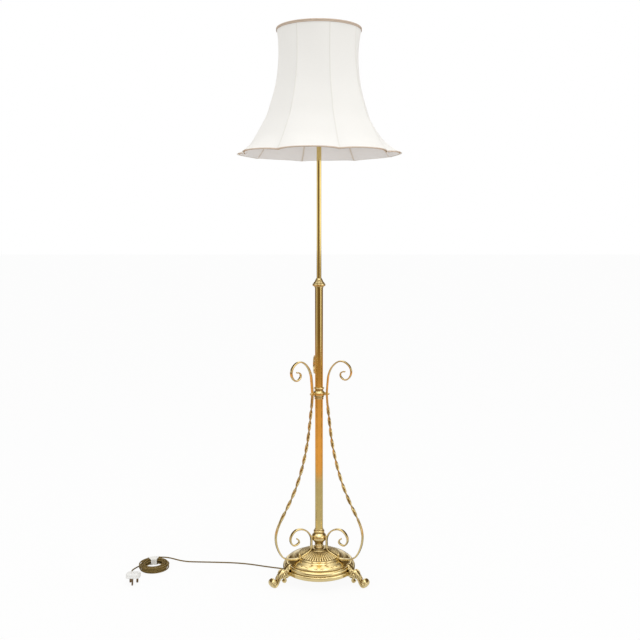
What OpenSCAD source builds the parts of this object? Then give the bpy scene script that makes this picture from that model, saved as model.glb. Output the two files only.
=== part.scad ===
// Brass rise-and-fall floor lamp. The origin is on the floor under the middle of the column, +Z is up
// and the front is -Y. Each sub-part is drawn where it sits when the lamp stands as photographed.

/* [Base] */
// Height of the underside of the base above the floor
rim_z = 33; // [28:1:42]
// Radius of the rolled lip of the base
dome_r = 118.5; // [110:0.5:128]
// Height of the dome from its rim to its flat top
dome_h = 68; // [60:1:80]
// Wall of the spun brass dome
dome_t = 2; // [1.2:0.2:3]
// Thickness of the plate that closes the base
plate_t = 2; // [1.5:0.5:4]
// Height of the turned knop between dome and column
knop_h = 64.5; // [55:0.5:80]
// Largest radius of the knop
knop_r = 24.5; // [23:0.5:27]

/* [Feet] */
// Distance from the axis to the middle of a toe roll
toe_reach = 167; // [160:1:180]
// Radius of a toe roll
toe_r = 11; // [9:0.5:13]
// Width of a toe roll
toe_w = 25; // [20:1:32]
// Distance from the axis to the middle of the knuckle scroll
knuckle_reach = 134; // [130:1:140]
// Radius of the knuckle scroll
knuckle_r = 12; // [10:0.5:13]
// Width of a foot behind its toe
foot_w = 22; // [18:1:28]

/* [Column] */
// Outer radius of the fixed column tube
tube_r = 12.7; // [12:0.1:14]
// Wall of the fixed column tube
tube_t = 1.2; // [1:0.1:1.6]
// Length of the fixed column tube
tube_len = 792.5; // [700:0.5:900]
// Outer radius of the sliding tube
inner_r = 7.5; // [7:0.1:8]
// Wall of the sliding tube
inner_t = 1; // [0.8:0.1:1.4]
// How far the sliding tube stands out of the fixed tube as photographed
raise = 447; // [400:1:480]
// Upward travel that is left in the position photographed
rise_left = 50; // [20:5:80]
// Height of the middle of the arm collar above the knop
collar_up = 451.5; // [430:0.5:470]
// Height of the arm collar
collar_h = 39; // [34:1:44]

/* [Arms] */
// Width of the flat arm bar
arm_w = 9.5; // [8:0.5:11]
// Thickness of the flat arm bar
arm_t = 3.8; // [3:0.2:4.4]
// Half turns in the barley twist of an arm
half_twists = 10; // [6:1:12]
// Turn of the collar against the feet, in degrees
arm_turn = 8; // [0:1:12]

/* [Shade] */
// Height of the shade
shade_h = 380; // [340:5:420]
// Radius of the shade at the bottom of its ribs
shade_r = 238.5; // [230:0.5:250]
// Radius of the shade at its top ring
shade_top_r = 130; // [120:1:140]
// Height of the shade's fitter above its bottom edge
fitter_up = 268.8; // [258:0.1:280]
// Thickness of the fabric cover
cover_t = 1.2; // [1:0.1:1.6]
// Radius of the frame wire
wire_r = 1.4; // [1.2:0.1:1.6]

/* [Lamp fitting] */
// Outer radius of the lampholder skirt
holder_r = 16; // [15:0.5:18]
// Height of the wire carrier that lifts the shade over the bulb
carrier_h = 200; // [185:1:215]
// Radius of the carrier's top ring
carrier_r = 46; // [42:1:50]
// Largest radius of the bulb
bulb_r = 30; // [26:1:32]
// Travel of the push bar switch
push_travel = 4; // [3:0.5:5]

/* [Flex] */
// Diameter of the braided flex
flex_d = 4.4; // [4:0.1:4.6]
// Radius of the coil at the outermost turn
coil_r = 50; // [48:1:56]
// Turns in each layer of the coil
layer_turns = 3; // [2:1:4]

/* [Hidden] */
$fn = 64;

// Clearances: fixed seats, sliding fits and soft neighbours
seat = 0.1;
slide = 0.2;
gap = 0.3;

// Heights up the column, from the floor
dome_z = rim_z + dome_h;
knop_z = dome_z + knop_h;
tube_z = knop_z + tube_len;
collar_z = knop_z + collar_up;
inner_z = tube_z + raise;
tube_in = tube_r - tube_t;
inner_in = inner_r - inner_t;

// Outline of the dome, from lip to flat top, as shares of its radius and height
DOME = [[0.99, 0], [1, 0.06], [1, 0.16], [0.985, 0.19], [0.945, 0.21], [0.878, 0.37], [0.81, 0.48],
    [0.743, 0.54], [0.658, 0.603], [0.557, 0.69], [0.439, 0.774], [0.321, 0.856], [0.219, 0.94], [0.2, 1]];
function dome_line(off = 0) = [for (p = DOME) [p[0] * dome_r + off, rim_z + p[1] * dome_h + off]];
function surface_z(r) = lookup(r, [for (i = [2:len(DOME) - 1]) dome_line()[i]]);

// Threaded stem down the middle of the base
nipple_r = 5;
nipple_bore = 3.2;
spigot_h = 24;
washer_t = 1.6;
nut_h = 6;
nipple_z0 = rim_z - washer_t - nut_h - 1.4;

// Feet bolts
bolt_reach = 100;
bolt_r = 3;
bolt_head_r = 5.5;
bolt_head_h = 4;
tongue_t = 6;
// Depth that is filed flat under each toe
pad_cut = 0.5;
bolt_up = 14;

// Column fittings
collet_tail = 30;
collet_flange_t = 2.2;
finger_h = 16;
finger_r = 9.6;
saw_w = 1.2;
collet_z0 = tube_z - collet_tail;
lock_z0 = tube_z + collet_flange_t + gap;
lock_h = 27.5;
bush_h = 20;
bush_z0 = collet_z0 - rise_left - bush_h - 0.5;

// Arm collar and its screws
lug_w = 8;
lug_reach = 24.6;
collar_arm_r = lug_reach + arm_t / 2 + 2 * gap;
screw_r = 2;
ball_r = 3.3;
stud_reach = 73;
stud_ball_up = 10;

// Arm path: radius and height, with the lower volute on the base and the upper one on the collar
LOW_VOLUTE = [[84, 45], [76.5, 38], [75, 30], [84, 24], [96, 24], [105, 36], [106, 50], [98, 64], [85, 72.6],
    [67, 73], [49.4, 65], [37, 52], [29.6, 36]];
BEND = [[29, 18], [29.4, 8], [32, 0]];
STRAP = [40, 50, 58, 66, 74];
SWEEP_UP = [[86, -24], [100, -21.8], [112, -19.6], [124, -15], [136, -6], [148, 13], [157, 38], [160, 62],
    [156.5, 84], [147, 108]];
TWIST_RUN = [[133, 133], [107, 178], [85, 224], [68, 271], [54.7, 319], [44.5, 367], [37.7, 415]];
HIGH_VOLUTE = [[30, 40], [33, 62], [42, 84], [56, 100], [70, 108], [84, 108], [97, 101], [106.5, 90],
    [110, 75], [106, 61], [96, 51], [84, 51], [75, 59], [74, 69], [81, 75], [90, 76]];
// The height that the twist run was drawn for, and how far inside it the twist starts and stops
twist_drawn = 516;
twist_low = 118;
twist_high = 42;
volute_steps = 3;
twist_steps = 7;

// Lampholder heights, from its foot
holder_z = inner_z - 8;
skirt_z = holder_z + 20;
skirt_h = 32;
thread_r = holder_r - 1.8;
skirt_bore = 11.5;
insulator_h = 14;
bulb_z = holder_z + 39.4;
bulb_cap_h = 25;
bulb_cap_r = 11;
bulb_len = 105;
glass_t = 1;
plunger_r = 1.6;
push_r = 2;
push_z = skirt_z + 9;
push_out = 8;
carrier_up = 40;
carrier_z = holder_z + carrier_up;
carrier_plate_t = 1.5;
carrier_wire_r = 1.5;
ring_r = 19.5;
fitter_z = carrier_z + carrier_h + carrier_wire_r;
fitter_t = 1.5;
shade_z = fitter_z + gap - fitter_up;

// Shade: radius along a rib by share of height, and how far a panel bows between two ribs
panels = 8;
first_rib = 14.5 - 90;
trim_t = 1.4;
RIB_SHARE = [[0, 1], [0.055, 0.93], [0.118, 0.865], [0.2, 0.788], [0.297, 0.703], [0.408, 0.639],
    [0.526, 0.583], [0.734, 0.9815 * shade_top_r / shade_r], [0.92, 0.9833 * shade_top_r / shade_r],
    [1, shade_top_r / shade_r]];
BOW = [[0, -1], [0.055, -0.4], [0.118, 0.3], [0.2, 0.7], [0.3, 0.9], [0.75, 0.9], [0.9, 0.4], [1, 0]];
function rib_r(v) = shade_r * lookup(v, RIB_SHARE);
function shade_at(v, a) =
    let (half = 180 / panels, off = (((a - first_rib) % (2 * half)) + 2 * half) % (2 * half) - half)
    rib_r(v) * pow(cos(half) / cos(off), lookup(v, BOW));
// The wall leans out most at the flare, where a wire needs this much more room across than square to it
flare_lean = 1.46;
flare_room = sqrt(1 + flare_lean * flare_lean);
rib_in = cover_t + (wire_r + gap) * flare_room;
lining_in = rib_in + (wire_r + gap) * flare_room;
lining_t = 0.9;
lining_low = 0.008;
lining_high = 0.94;

// Flex: free run, coil and tail, all along points on the floor
flex_r = flex_d / 2;
tie_t = 0.6;
coil_c = [-559, 65];
coil_pitch = 7;
coil_z0 = tie_t + 0.15 + flex_r;
layer_up = flex_d + 0.45;
coil_layers = 4;
coil_start = 90;
coil_turns = layer_turns * coil_layers + 1 / 6;
gland_tip = [-62, 38.3];
gland_z = 14;
flex_dir = [-0.963, 0.268];
gland_len = 22;
plug_at = [-602, -45];
pin_tall = 22.7;
pin_short = 17.7;
pin_gap = 22.2;
plug_tilt = asin((pin_tall - pin_short) / pin_gap);
plug_w = 44;
plug_l = 46;
plug_base_t = 8;
plug_cover_t = 9;
plug_back = 13;
RUN = [[-62, 38.3, 14], [-66.8, 39.64, 14], [-74, 41.6, 12.6], [-84, 44.4, 9], [-95, 47.5, 4.8], [-106, 50.5, 2.6],
    [-118, 53.8, 2.2], [-136, 59, 2.2], [-158, 65.5, 2.2], [-183, 73.5, 2.2], [-210, 83, 2.2], [-236, 91.5, 2.2],
    [-262, 98, 2.2], [-289, 102.6, 2.2], [-316, 105.4, 2.2], [-344, 107.4, 2.2], [-372, 109, 2.2],
    [-400, 110.4, 2.2], [-428, 111.6, 2.2], [-450, 112.4, 2.8], [-468, 113.2, 4.6], [-486, 114, 8],
    [-504, 114.6, 12.6], [-520, 115, 15.9], [-535, 115, 17.4], [-550, 115, 17.5]];
TAIL = [[-605.5, 86.8, 2.95], [-608, 82.5, 2.95], [-611.5, 76, 2.8], [-617, 66.5, 2.5], [-622.5, 57, 2.2], [-627, 45, 2.2], [-627.5, 32, 2.4],
    [-622.5, 19, 4], [-614.5, 7.5, 8.2], [-607, -3, 13.6], [-602.8, -13, 18.4],
    [-602, -22, 21.1], [-602, -28, 22.5], [-602, -34, 23.9]];

// Smooth points through a list, n to a span
function spline(p, n) = [for (i = [0:len(p) - 2], k = [0:n - 1])
    let (a = p[max(i - 1, 0)], b = p[i], c = p[i + 1], d = p[min(i + 2, len(p) - 1)], t = k / n)
    0.5 * (2 * b + (c - a) * t + (2 * a - 5 * b + 4 * c - d) * t * t + (3 * b - a - 3 * c + d) * t * t * t)];
function unit(v) = v / norm(v);
function along(p, i) = unit(p[min(i + 1, len(p) - 1)] - p[max(i - 1, 0)]);

// One closed skin over a list of rings that all have the same number of points
module skin(rings) {
    n = len(rings[0]);
    m = len(rings);
    polyhedron(points = [for (r = rings) each r], faces = concat(
        [for (i = [0:m - 2], k = [0:n - 1], h = [0, 1]) let (a = i * n + k, b = i * n + (k + 1) % n)
            h == 0 ? [a, a + n, b] : [b, a + n, b + n]],
        [for (k = [1:n - 2]) [0, k, k + 1]],
        [for (k = [1:n - 2]) [(m - 1) * n, (m - 1) * n + k + 1, (m - 1) * n + k]]));
}

// Round tube along points, which may climb but never run straight up for long
function ring_at(c, t, r, n) = let (s = unit(cross(t, abs(t[2]) > 0.8 ? [0, 1, 0] : [0, 0, 1])), u = cross(s, t))
    [for (k = [0:n - 1]) let (a = 360 * (k + 0.5) / n) c + r * (cos(a) * s + sin(a) * u)];
module tube_along(p, r, n) { skin([for (i = [0:len(p) - 1]) ring_at(p[i], along(p, i), r, n)]); }

module spin(outline) { rotate_extrude() polygon(outline); }
module bored(r1, r0, z0, h) {
    translate([0, 0, z0]) difference() {
        cylinder(r = r1, h = h);
        translate([0, 0, -1]) cylinder(r = r0, h = h + 2);
    }
}
module arms_round() { for (a = [-60, 60, 180]) rotate(a) children(); }

// Base

module base_dome() {
    outer = dome_line();
    inner = dome_line(-dome_t);
    color("goldenrod") difference() {
        spin(concat([for (p = outer) p], [[0, dome_z], [0, dome_z - dome_t]],
            [for (i = [len(inner) - 1:-1:1]) inner[i]], [[inner[0][0], rim_z]]));
        cylinder(r = nipple_r + seat, h = dome_z + 1);
        for (a = [-60, 60, 180]) rotate(a)
            translate([0, -stud_reach, rim_z]) cylinder(r = screw_r + seat, h = dome_h);
    }
}

module base_weight() {
    inner = dome_line(-dome_t - gap);
    z0 = rim_z + plate_t;
    color("dimgray") difference() {
        spin(concat([[0, z0], [inner[3][0] - 1, z0], [inner[3][0] - 1, inner[3][1]]],
            [for (i = [4:len(inner) - 1]) inner[i]], [[0, dome_z - dome_t - gap]]));
        cylinder(r = nipple_r + seat, h = dome_z);
        for (a = [-60, 60, 180]) rotate(a) {
            translate([0, -stud_reach, rim_z]) cylinder(r = screw_r + seat, h = dome_h);
            translate([0, -bolt_reach, rim_z]) cylinder(r = bolt_r + seat, h = bolt_up + gap);
        }
    }
}

module base_plate() {
    color("gray") difference() {
        translate([0, 0, rim_z]) cylinder(r = dome_line(-dome_t)[0][0] - seat, h = plate_t);
        cylinder(r = nipple_r + seat, h = dome_z);
        for (a = [-60, 60, 180]) rotate(a)
            translate([0, -bolt_reach, 0]) cylinder(r = bolt_r + seat, h = dome_z);
    }
}

// Shares of the knop's radius and height, from its seat on the dome to its neck
KNOP = [[0.665, 0], [0.665, 0.31], [0.7, 0.345], [0.8, 0.38], [0.95, 0.44], [1, 0.49], [1, 0.56], [0.967, 0.66],
    [0.9, 0.7], [0.804, 0.73], [0.7, 0.77], [0.69, 0.8], [0.72, 0.84], [0.727, 0.89], [0.67, 0.94]];
module knop() {
    color("gold") difference() {
        union() {
            spin(concat([[0, dome_z]], [for (p = KNOP) [p[0] * knop_r, dome_z + p[1] * knop_h]],
                [[tube_r + 1.5, knop_z], [0, knop_z]]));
            translate([0, 0, knop_z - 1]) cylinder(r = tube_in - seat, h = spigot_h + 1);
        }
        translate([0, 0, dome_z - 1]) cylinder(r = nipple_r + seat, h = knop_h + spigot_h + 3);
    }
}

module stem_nipple() {
    color("silver") bored(nipple_r, nipple_bore, nipple_z0, knop_z + spigot_h - nipple_z0);
}

module stem_nut() {
    color("silver") translate([0, 0, rim_z - washer_t]) difference() {
        union() {
            cylinder(r = 11, h = washer_t);
            translate([0, 0, -nut_h]) cylinder(r = 8.5, h = nut_h, $fn = 6);
        }
        translate([0, 0, -nut_h - 1]) cylinder(r = nipple_r + seat, h = nut_h + washer_t + 2);
    }
}

// Barrel on its side, full in the middle
module roll(r, w) {
    spin([[0, -w / 2], [r * 0.6, -w / 2], [r * 0.85, -w * 0.36], [r * 0.97, -w * 0.18], [r, 0],
        [r * 0.97, w * 0.18], [r * 0.85, w * 0.36], [r * 0.6, w / 2], [0, w / 2]]);
}

// Feet: a tongue under the rim, a clasp on the lip, the knuckle scroll, the leg and the toe roll
module foot() {
    knuckle = [knuckle_reach, rim_z + 5];
    toe = [toe_reach, toe_r - pad_cut];
    n = unit([knuckle[1] - toe[1], toe[0] - knuckle[0]]);
    leg = [knuckle + 5 * n, toe + 3.5 * n, toe - 8 * n, knuckle - 9 * n];
    top = [dome_line()[4][0] + 2, dome_line()[4][1] + 8];
    color("gold") difference() {
        rotate([90, 0, 0]) rotate([0, -90, 0]) {
            linear_extrude(height = foot_w, center = true) {
                polygon([for (p = leg) [p[0], p[1]]]);
                polygon([[bolt_reach - 9, rim_z - tongue_t], [bolt_reach + bolt_head_r + 2, rim_z - tongue_t],
                    [knuckle_reach, rim_z - tongue_t - 3],
                    [knuckle_reach, knuckle[1] + knuckle_r], [top[0] + 6, top[1] + 1], [top[0] - 2, top[1]],
                    [top[0] - 4, rim_z], [bolt_reach - 9, rim_z]]);
                translate(knuckle) circle(r = knuckle_r);
            }
            translate(toe) roll(toe_r, toe_w);
            translate(toe + [0.8, 0.75] * toe_r) roll(toe_r * 0.6, toe_w - 3);
            for (s = [-1, 1]) translate([top[0] + 3, top[1] - 3, s * foot_w / 2]) sphere(r = 5.5);
        }
        spin(concat([[0, rim_z], [dome_line()[0][0] + gap, rim_z]],
            [for (i = [1:len(DOME) - 1]) dome_line(gap)[i]], [[0, dome_z + gap]]));
        translate([0, -bolt_reach, 0]) cylinder(r = bolt_r + seat, h = rim_z + 1);
        translate([-toe_w, -toe_reach - 2 * toe_r, -toe_r]) cube([2 * toe_w, 4 * toe_r, toe_r]);
    }
}
module foot_left() { rotate(-60) foot(); }
module foot_right() { rotate(60) foot(); }
module foot_rear() { rotate(180) foot(); }

module foot_bolts() {
    color("silver") arms_round() translate([0, -bolt_reach, rim_z - tongue_t]) {
        translate([0, 0, -bolt_head_h]) cylinder(r = bolt_head_r, h = bolt_head_h);
        cylinder(r = bolt_r, h = tongue_t + bolt_up);
    }
}

// Column

module outer_tube() { color("gold") bored(tube_r, tube_in, knop_z, tube_len); }

module collet() {
    color("goldenrod") difference() {
        union() {
            translate([0, 0, collet_z0]) cylinder(r = tube_in - seat, h = collet_tail + 1);
            translate([0, 0, tube_z]) cylinder(r = tube_r + 1.4, h = collet_flange_t);
            translate([0, 0, tube_z]) cylinder(r = finger_r, h = collet_flange_t + finger_h);
        }
        translate([0, 0, collet_z0 - 1]) cylinder(r = inner_r + slide, h = tube_z - collet_z0 + 30);
        for (a = [0, 90]) rotate(a) translate([-tube_r, -saw_w / 2, tube_z + collet_flange_t + 2])
            cube([2 * tube_r, saw_w, finger_h]);
    }
}

// Radius and height of the lock collar's turned outside, from its lower edge
LOCK = [[15.5, 0], [19.2, 2.5], [20.8, 5], [20.8, 8.5], [19.9, 11.5], [18, 13.6], [15.6, 15.4], [13.4, 17.4],
    [12, 19.8], [10.9, 22.6], [9.8, 25.2]];
module lock_collar() {
    bore = inner_r + gap;
    color("gold") translate([0, 0, lock_z0]) difference() {
        spin(concat([[0, 0]], LOCK, [[bore + 1, lock_h], [0, lock_h]]));
        translate([0, 0, -1]) cylinder(r = bore, h = lock_h + 2);
        translate([0, 0, -1]) cylinder(r = finger_r + gap, h = finger_h + 1 + gap);
    }
}

module inner_tube() { color("gold") bored(inner_r, inner_in, bush_z0, inner_z - bush_z0); }

module guide_bush() { color("white") bored(tube_in - slide, inner_r + seat, bush_z0, bush_h); }

// Collar with three lugs that the arms are screwed to
module arm_collar() {
    z0 = -collar_h / 2;
    color("gold") translate([0, 0, collar_z]) difference() {
        union() {
            spin([[0, z0], [14.2, z0], [14.6, z0 + 4], [14.6, z0 + 9], [16.8, z0 + 12], [17.5, z0 + 16],
                [17.5, z0 + 20], [16.8, z0 + 24], [14, z0 + 27.5], [13.8, z0 + 33], [15.5, z0 + 35.5],
                [15.5, -z0 - 1], [14.6, -z0], [0, -z0]]);
            arms_round() rotate(arm_turn) translate([-lug_w / 2, -lug_reach, -5]) cube([lug_w, 12, 10]);
        }
        translate([0, 0, z0 - 1]) cylinder(r = tube_r + seat, h = collar_h + 2);
        arms_round() rotate(arm_turn) translate([0, -lug_reach - 1, 0]) rotate([-90, 0, 0])
            cylinder(r = screw_r + seat, h = 9);
    }
}

module collar_screws() {
    color("gold") translate([0, 0, collar_z]) arms_round() rotate(arm_turn) {
        translate([0, -lug_reach + 7, 0]) rotate([90, 0, 0]) cylinder(r = screw_r, h = arm_t + 9);
        translate([0, -lug_reach - arm_t - 3 * gap - ball_r, 0]) sphere(r = ball_r);
    }
}

// Flat bar wrought into a scroll at each end, twisted between, and laid down the dome where it is bolted.
// Each point is [radius, height, share of twist, share of turn to the collar, share of full section].
function arm_points() =
    let (low = [for (p = LOW_VOLUTE) [p[0], dome_z + p[1]]],
        strap = [for (r = STRAP) [r, surface_z(r) + arm_t / 2 / cos(23) + gap]],
        up = [for (p = SWEEP_UP) [p[0], dome_z + p[1]]],
        twist = [for (p = TWIST_RUN) [p[0], dome_z + p[1] * (collar_z - dome_z) / twist_drawn]],
        top = concat([[collar_arm_r + 1.5, collar_z - 30], [collar_arm_r, collar_z - 8], [collar_arm_r, collar_z + 8]],
            [for (p = HIGH_VOLUTE) [p[0], collar_z + p[1]]]))
    concat(spline(concat(low, [for (p = BEND) [p[0], dome_z + p[1]]], strap, up, [twist[0]]), volute_steps),
        spline(concat(twist, [top[0]]), twist_steps),
        spline(top, volute_steps), [top[len(top) - 1]]);

function twist_share(z) = let (z0 = dome_z + twist_low) max(0, min(1, (z - z0) / (collar_z - twist_high - z0)));
// The arm turns with the collar from the height where it leaves the base to just under the collar
turn_low = 40;
turn_high = 30;
function turn_share(z) = let (z0 = dome_z + turn_low) max(0, min(1, (z - z0) / (collar_z - turn_high - z0)));
module arm() {
    p = arm_points();
    n = len(p);
    plain = (len(LOW_VOLUTE) + len(BEND)) * volute_steps;
    skin([for (i = [0:n - 1])
        let (c = [0, -p[i][0], p[i][1]], d = along(p, i), s = i > plain ? twist_share(p[i][1]) : 0,
            a = -180 * half_twists * s, end = min(1, 0.55 + 0.45 * min(i, n - 1 - i) / 20),
            along_n = [0, d[1], d[0]], turn = i < plain ? 0 : arm_turn * turn_share(p[i][1]),
            u = cos(a) * along_n + sin(a) * [1, 0, 0], v = -sin(a) * along_n + cos(a) * [1, 0, 0],
            ring = [for (k = [[1, 1], [-1, 1], [-1, -1], [1, -1]])
                c + u * k[0] * arm_t / 2 * end + v * k[1] * arm_w / 2 * min(1, end + 0.2)])
        [for (q = ring) [q[0] * cos(turn) - q[1] * sin(turn), q[0] * sin(turn) + q[1] * cos(turn), q[2]]]]);
}
module drilled_arm() {
    color("gold") difference() {
        arm();
        rotate(arm_turn) translate([0, -lug_reach - arm_t - 6, collar_z]) rotate([-90, 0, 0])
            cylinder(r = screw_r + gap, h = 12);
        translate([0, -stud_reach, surface_z(stud_reach) - 4]) cylinder(r = screw_r + gap, h = 14);
    }
}
module arm_left() { rotate(-60) drilled_arm(); }
module arm_right() { rotate(60) drilled_arm(); }
module arm_rear() { rotate(180) drilled_arm(); }

module arm_studs() {
    z = surface_z(stud_reach);
    color("gold") arms_round() translate([0, -stud_reach, 0]) {
        translate([0, 0, z - 12]) cylinder(r = screw_r, h = 12 + stud_ball_up);
        translate([0, 0, z + stud_ball_up + 2.4]) sphere(r = ball_r + 0.4);
    }
}

// Flex inside the lamp

module cord_gland() {
    side = flex_dir[0] < 0 ? atan2(flex_dir[1], flex_dir[0]) : 0;
    color("black") difference() {
        translate([gland_tip[0], gland_tip[1], gland_z]) rotate(side) {
            rotate([0, -90, 0]) cylinder(r1 = flex_r + 1, r2 = flex_r + 2.6, h = gland_len);
            translate([-gland_len - 10, -7, -6]) cube([10.5, 14, rim_z - gland_z + 6]);
        }
        translate([gland_tip[0], gland_tip[1], gland_z]) rotate(side) rotate([0, -90, 0])
            translate([0, 0, -1]) cylinder(r = flex_r + slide, h = gland_len + 14);
    }
}

// Points from the gland's tip back under the plate and up into the stem
module base_flex() {
    back = [for (t = [0, 12, gland_len + 2, gland_len + 11]) [gland_tip[0] - flex_dir[0] * t, gland_tip[1] - flex_dir[1] * t, gland_z]];
    bend = [[-20, 24.5, 13.6], [-12.5, 17, 13.4], [-6.5, 9.5, 13.6], [-3, 4.5, 15], [-0.8, 1.2, 19], [0, 0, 24], [0, 0, 34],
        [0, 0, 60], [0, 0, dome_z - 8]];
    color("saddlebrown") skin([for (i = [0:len(concat(back, bend)) - 1]) let (p = concat(back, bend))
        ring_at(p[i], i < 4 ? -[flex_dir[0], flex_dir[1], 0] : along(p, i), flex_r, 8)]);
}

module column_flex() {
    color("saddlebrown") translate([0, 0, dome_z - 8])
        cylinder(r = flex_r, h = skirt_z + 1 - dome_z + 8);
}

// Lampholder and bulb

module holder_cap() {
    z = holder_z;
    r = holder_r;
    color("goldenrod") difference() {
        spin([[0, z], [9.6, z], [9.6, z + 6], [12.5, z + 9], [r, z + 13], [r, z + 20], [0, z + 20]]);
        translate([0, 0, z - 1]) cylinder(r = inner_r + seat, h = 9);
        translate([0, 0, z]) cylinder(r = nipple_r, h = 14);
        translate([0, 0, z + 13.5]) cylinder(r = r - 2, h = 9);
    }
}

module holder_skirt() {
    color("goldenrod") difference() {
        union() {
            translate([0, 0, skirt_z]) cylinder(r = holder_r, h = 13);
            translate([0, 0, skirt_z]) cylinder(r = thread_r, h = skirt_h);
        }
        translate([0, 0, skirt_z - 1]) cylinder(r = skirt_bore, h = skirt_h + 2);
        translate([-holder_r - 1, 0, push_z]) rotate([0, 90, 0]) cylinder(r = push_r + gap, h = 2 * holder_r + 2);
        for (a = [0, 180]) rotate(a) translate([0, -1.6, skirt_z + skirt_h - 10]) cube([holder_r, 3.2, 11]);
    }
}

module holder_insulator() {
    color("sienna") difference() {
        translate([0, 0, skirt_z + 1]) cylinder(r = skirt_bore - seat, h = insulator_h);
        translate([-holder_r - 1, 0, push_z]) rotate([0, 90, 0]) cylinder(r = push_r + gap, h = 2 * holder_r + 2);
        for (s = [-1, 1]) translate([0, s * 5.5, skirt_z + 12]) cylinder(r = plunger_r + seat, h = 6);
    }
}

module holder_contacts() {
    z = skirt_z + 12;
    color("gold") for (s = [-1, 1]) translate([0, s * 5.5, z]) cylinder(r = plunger_r, h = bulb_z - z);
}

module push_bar() {
    color("gold") for (s = [-1, 1]) translate([s * push_travel / 2, 0, push_z]) rotate([0, 90, 0]) {
        if (s < 0) translate([0, 0, -holder_r - push_out + 2])
            cylinder(r = push_r, h = 2 * holder_r + 2 * push_out - 4);
        translate([0, 0, s * (holder_r + push_out - 2) - (s > 0 ? 2 + push_travel : 0)]) cylinder(r = 3, h = 3);
    }
}

// Threaded rings that clamp the carrier's plate on the skirt
module shade_rings() {
    color("sienna") for (z = [carrier_z - 5, carrier_z + carrier_plate_t + seat])
        bored(ring_r, thread_r + seat, z, 5 - seat);
}

module bulb_cap() { color("silver") translate([0, 0, bulb_z]) cylinder(r = bulb_cap_r, h = bulb_cap_h); }

module bulb_glass() {
    z = bulb_z + bulb_cap_h;
    r = bulb_r;
    top = bulb_z + bulb_len;
    function half(t) = concat([[0, z + t], [12 - t, z + t], [13 - t, z + 5], [18 - t, z + 16], [r - 3 - t, z + 31]],
        [for (a = [-20:15:85]) [(r - t) * cos(a), top - r + (r - t) * sin(a)]], [[0, top - t]]);
    color("white") difference() {
        spin(half(0));
        spin(half(glass_t));
    }
}

// Wire carrier: plate on the lampholder, three wires round the bulb, ring under the shade's fitter
module carrier_rod(a, b) {
    d = b - a;
    translate(a) rotate([0, acos(d[2] / norm(d)), atan2(d[1], d[0])]) cylinder(r = carrier_wire_r, h = norm(d));
    translate(b) sphere(r = carrier_wire_r + 0.3);
}
module shade_carrier() {
    low = [ring_r + 4, 0, carrier_z + carrier_wire_r];
    bend = [carrier_r, 0, carrier_z + 22];
    top = [carrier_r, 0, carrier_z + carrier_h];
    color("gold") {
        bored(ring_r + 5, thread_r + seat, carrier_z, carrier_plate_t);
        translate([0, 0, carrier_z + carrier_h]) rotate_extrude()
            translate([carrier_r, 0]) circle(r = carrier_wire_r, $fn = 16);
        for (a = [30, 150, 270]) rotate(a) {
            carrier_rod(low, bend);
            carrier_rod(bend, top);
        }
    }
}

// Shade: the fitter ring hangs by four wires from the top ring
module shade_fitter() {
    top_z = shade_z + shade_h - wire_r - 1;
    top = [shade_top_r - rib_in, 0, top_z];
    low = [carrier_r + 7, 0, fitter_z + gap + fitter_t / 2];
    color("gold") {
        bored(carrier_r + 8, carrier_r - 5, fitter_z + gap, fitter_t);
        translate([0, 0, top_z]) rotate_extrude() translate([top[0], 0]) circle(r = wire_r, $fn = 16);
        for (a = [0:90:270]) rotate(a + first_rib + 180 / panels) carrier_rod(low, top);
    }
}

// Height shares where the shade's skins and ribs have a ring of points
trim_v = 0.014;
ROWS = [0, trim_v, 0.03, 0.065, 0.118, 0.2, 0.297, 0.408, 0.526, 0.734, 0.92, 1];
steps = 6;
function shade_ring(v, off, z) = [for (k = [0:panels * steps - 1]) let (a = first_rib + 360 / panels * k / steps,
    r = shade_at(v, a) - off) [r * cos(a), r * sin(a), shade_z + z]];

// Closed shell between two offsets, through the given height shares. Both walls share one diagonal in each
// of their squares, so that they stay parallel where a square is twisted.
module shade_shell(rows, off_out, off_in) {
    m = len(rows);
    n = panels * steps;
    outer = [for (v = rows) shade_ring(v, off_out, v * shade_h)];
    inner = [for (v = rows) shade_ring(v, off_in, v * shade_h)];
    loop = concat(outer, [for (i = [m - 1:-1:0]) inner[i]]);
    polyhedron(points = [for (r = loop) each r],
        faces = [for (i = [0:2 * m - 1], k = [0:n - 1], h = [0, 1])
            let (a = i * n, b = ((i + 1) % (2 * m)) * n, k2 = (k + 1) % n)
            i < m ? (h == 0 ? [a + k, b + k, a + k2] : [a + k2, b + k, b + k2])
                : (h == 0 ? [a + k, b + k, b + k2] : [a + k, b + k2, a + k2])]);
}

module shade_ribs() {
    n = len(ROWS);
    low = [for (i = [0:n - 1]) let (v = ROWS[i]) [rib_r(v) - rib_in, v * shade_h]];
    first = low[0] + unit(low[1] - low[0]) * (3.6 * wire_r + gap);
    last = [low[n - 1][0], shade_h - 2 * wire_r - 1 - gap];
    path = concat([first], [for (i = [2:n - 2]) low[i]], [last]);
    color("gold") for (j = [0:panels - 1]) rotate(first_rib + 360 / panels * j)
        tube_along([for (p = path) [p[0], 0, shade_z + p[1]]], wire_r, 6);
}

module shade_bottom_ring() {
    c = [for (k = [0:panels * steps - 1]) let (a = first_rib + 360 / panels * k / steps, r = shade_at(0, a) - rib_in - flare_lean * wire_r)
        [r * cos(a), r * sin(a), shade_z + wire_r]];
    n = len(c);
    color("gold") polyhedron(points = [for (i = [0:n - 1], q = [0:5]) let (u = unit([c[i][0], c[i][1], 0]))
            c[i] + wire_r * (cos(60 * q) * u + sin(60 * q) * [0, 0, 1])],
        faces = [for (i = [0:n - 1], q = [0:5], h = [0, 1]) let (a = i * 6, b = ((i + 1) % n) * 6, q2 = (q + 1) % 6)
            h == 0 ? [a + q, a + q2, b + q] : [a + q2, b + q2, b + q]]);
}

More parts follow.
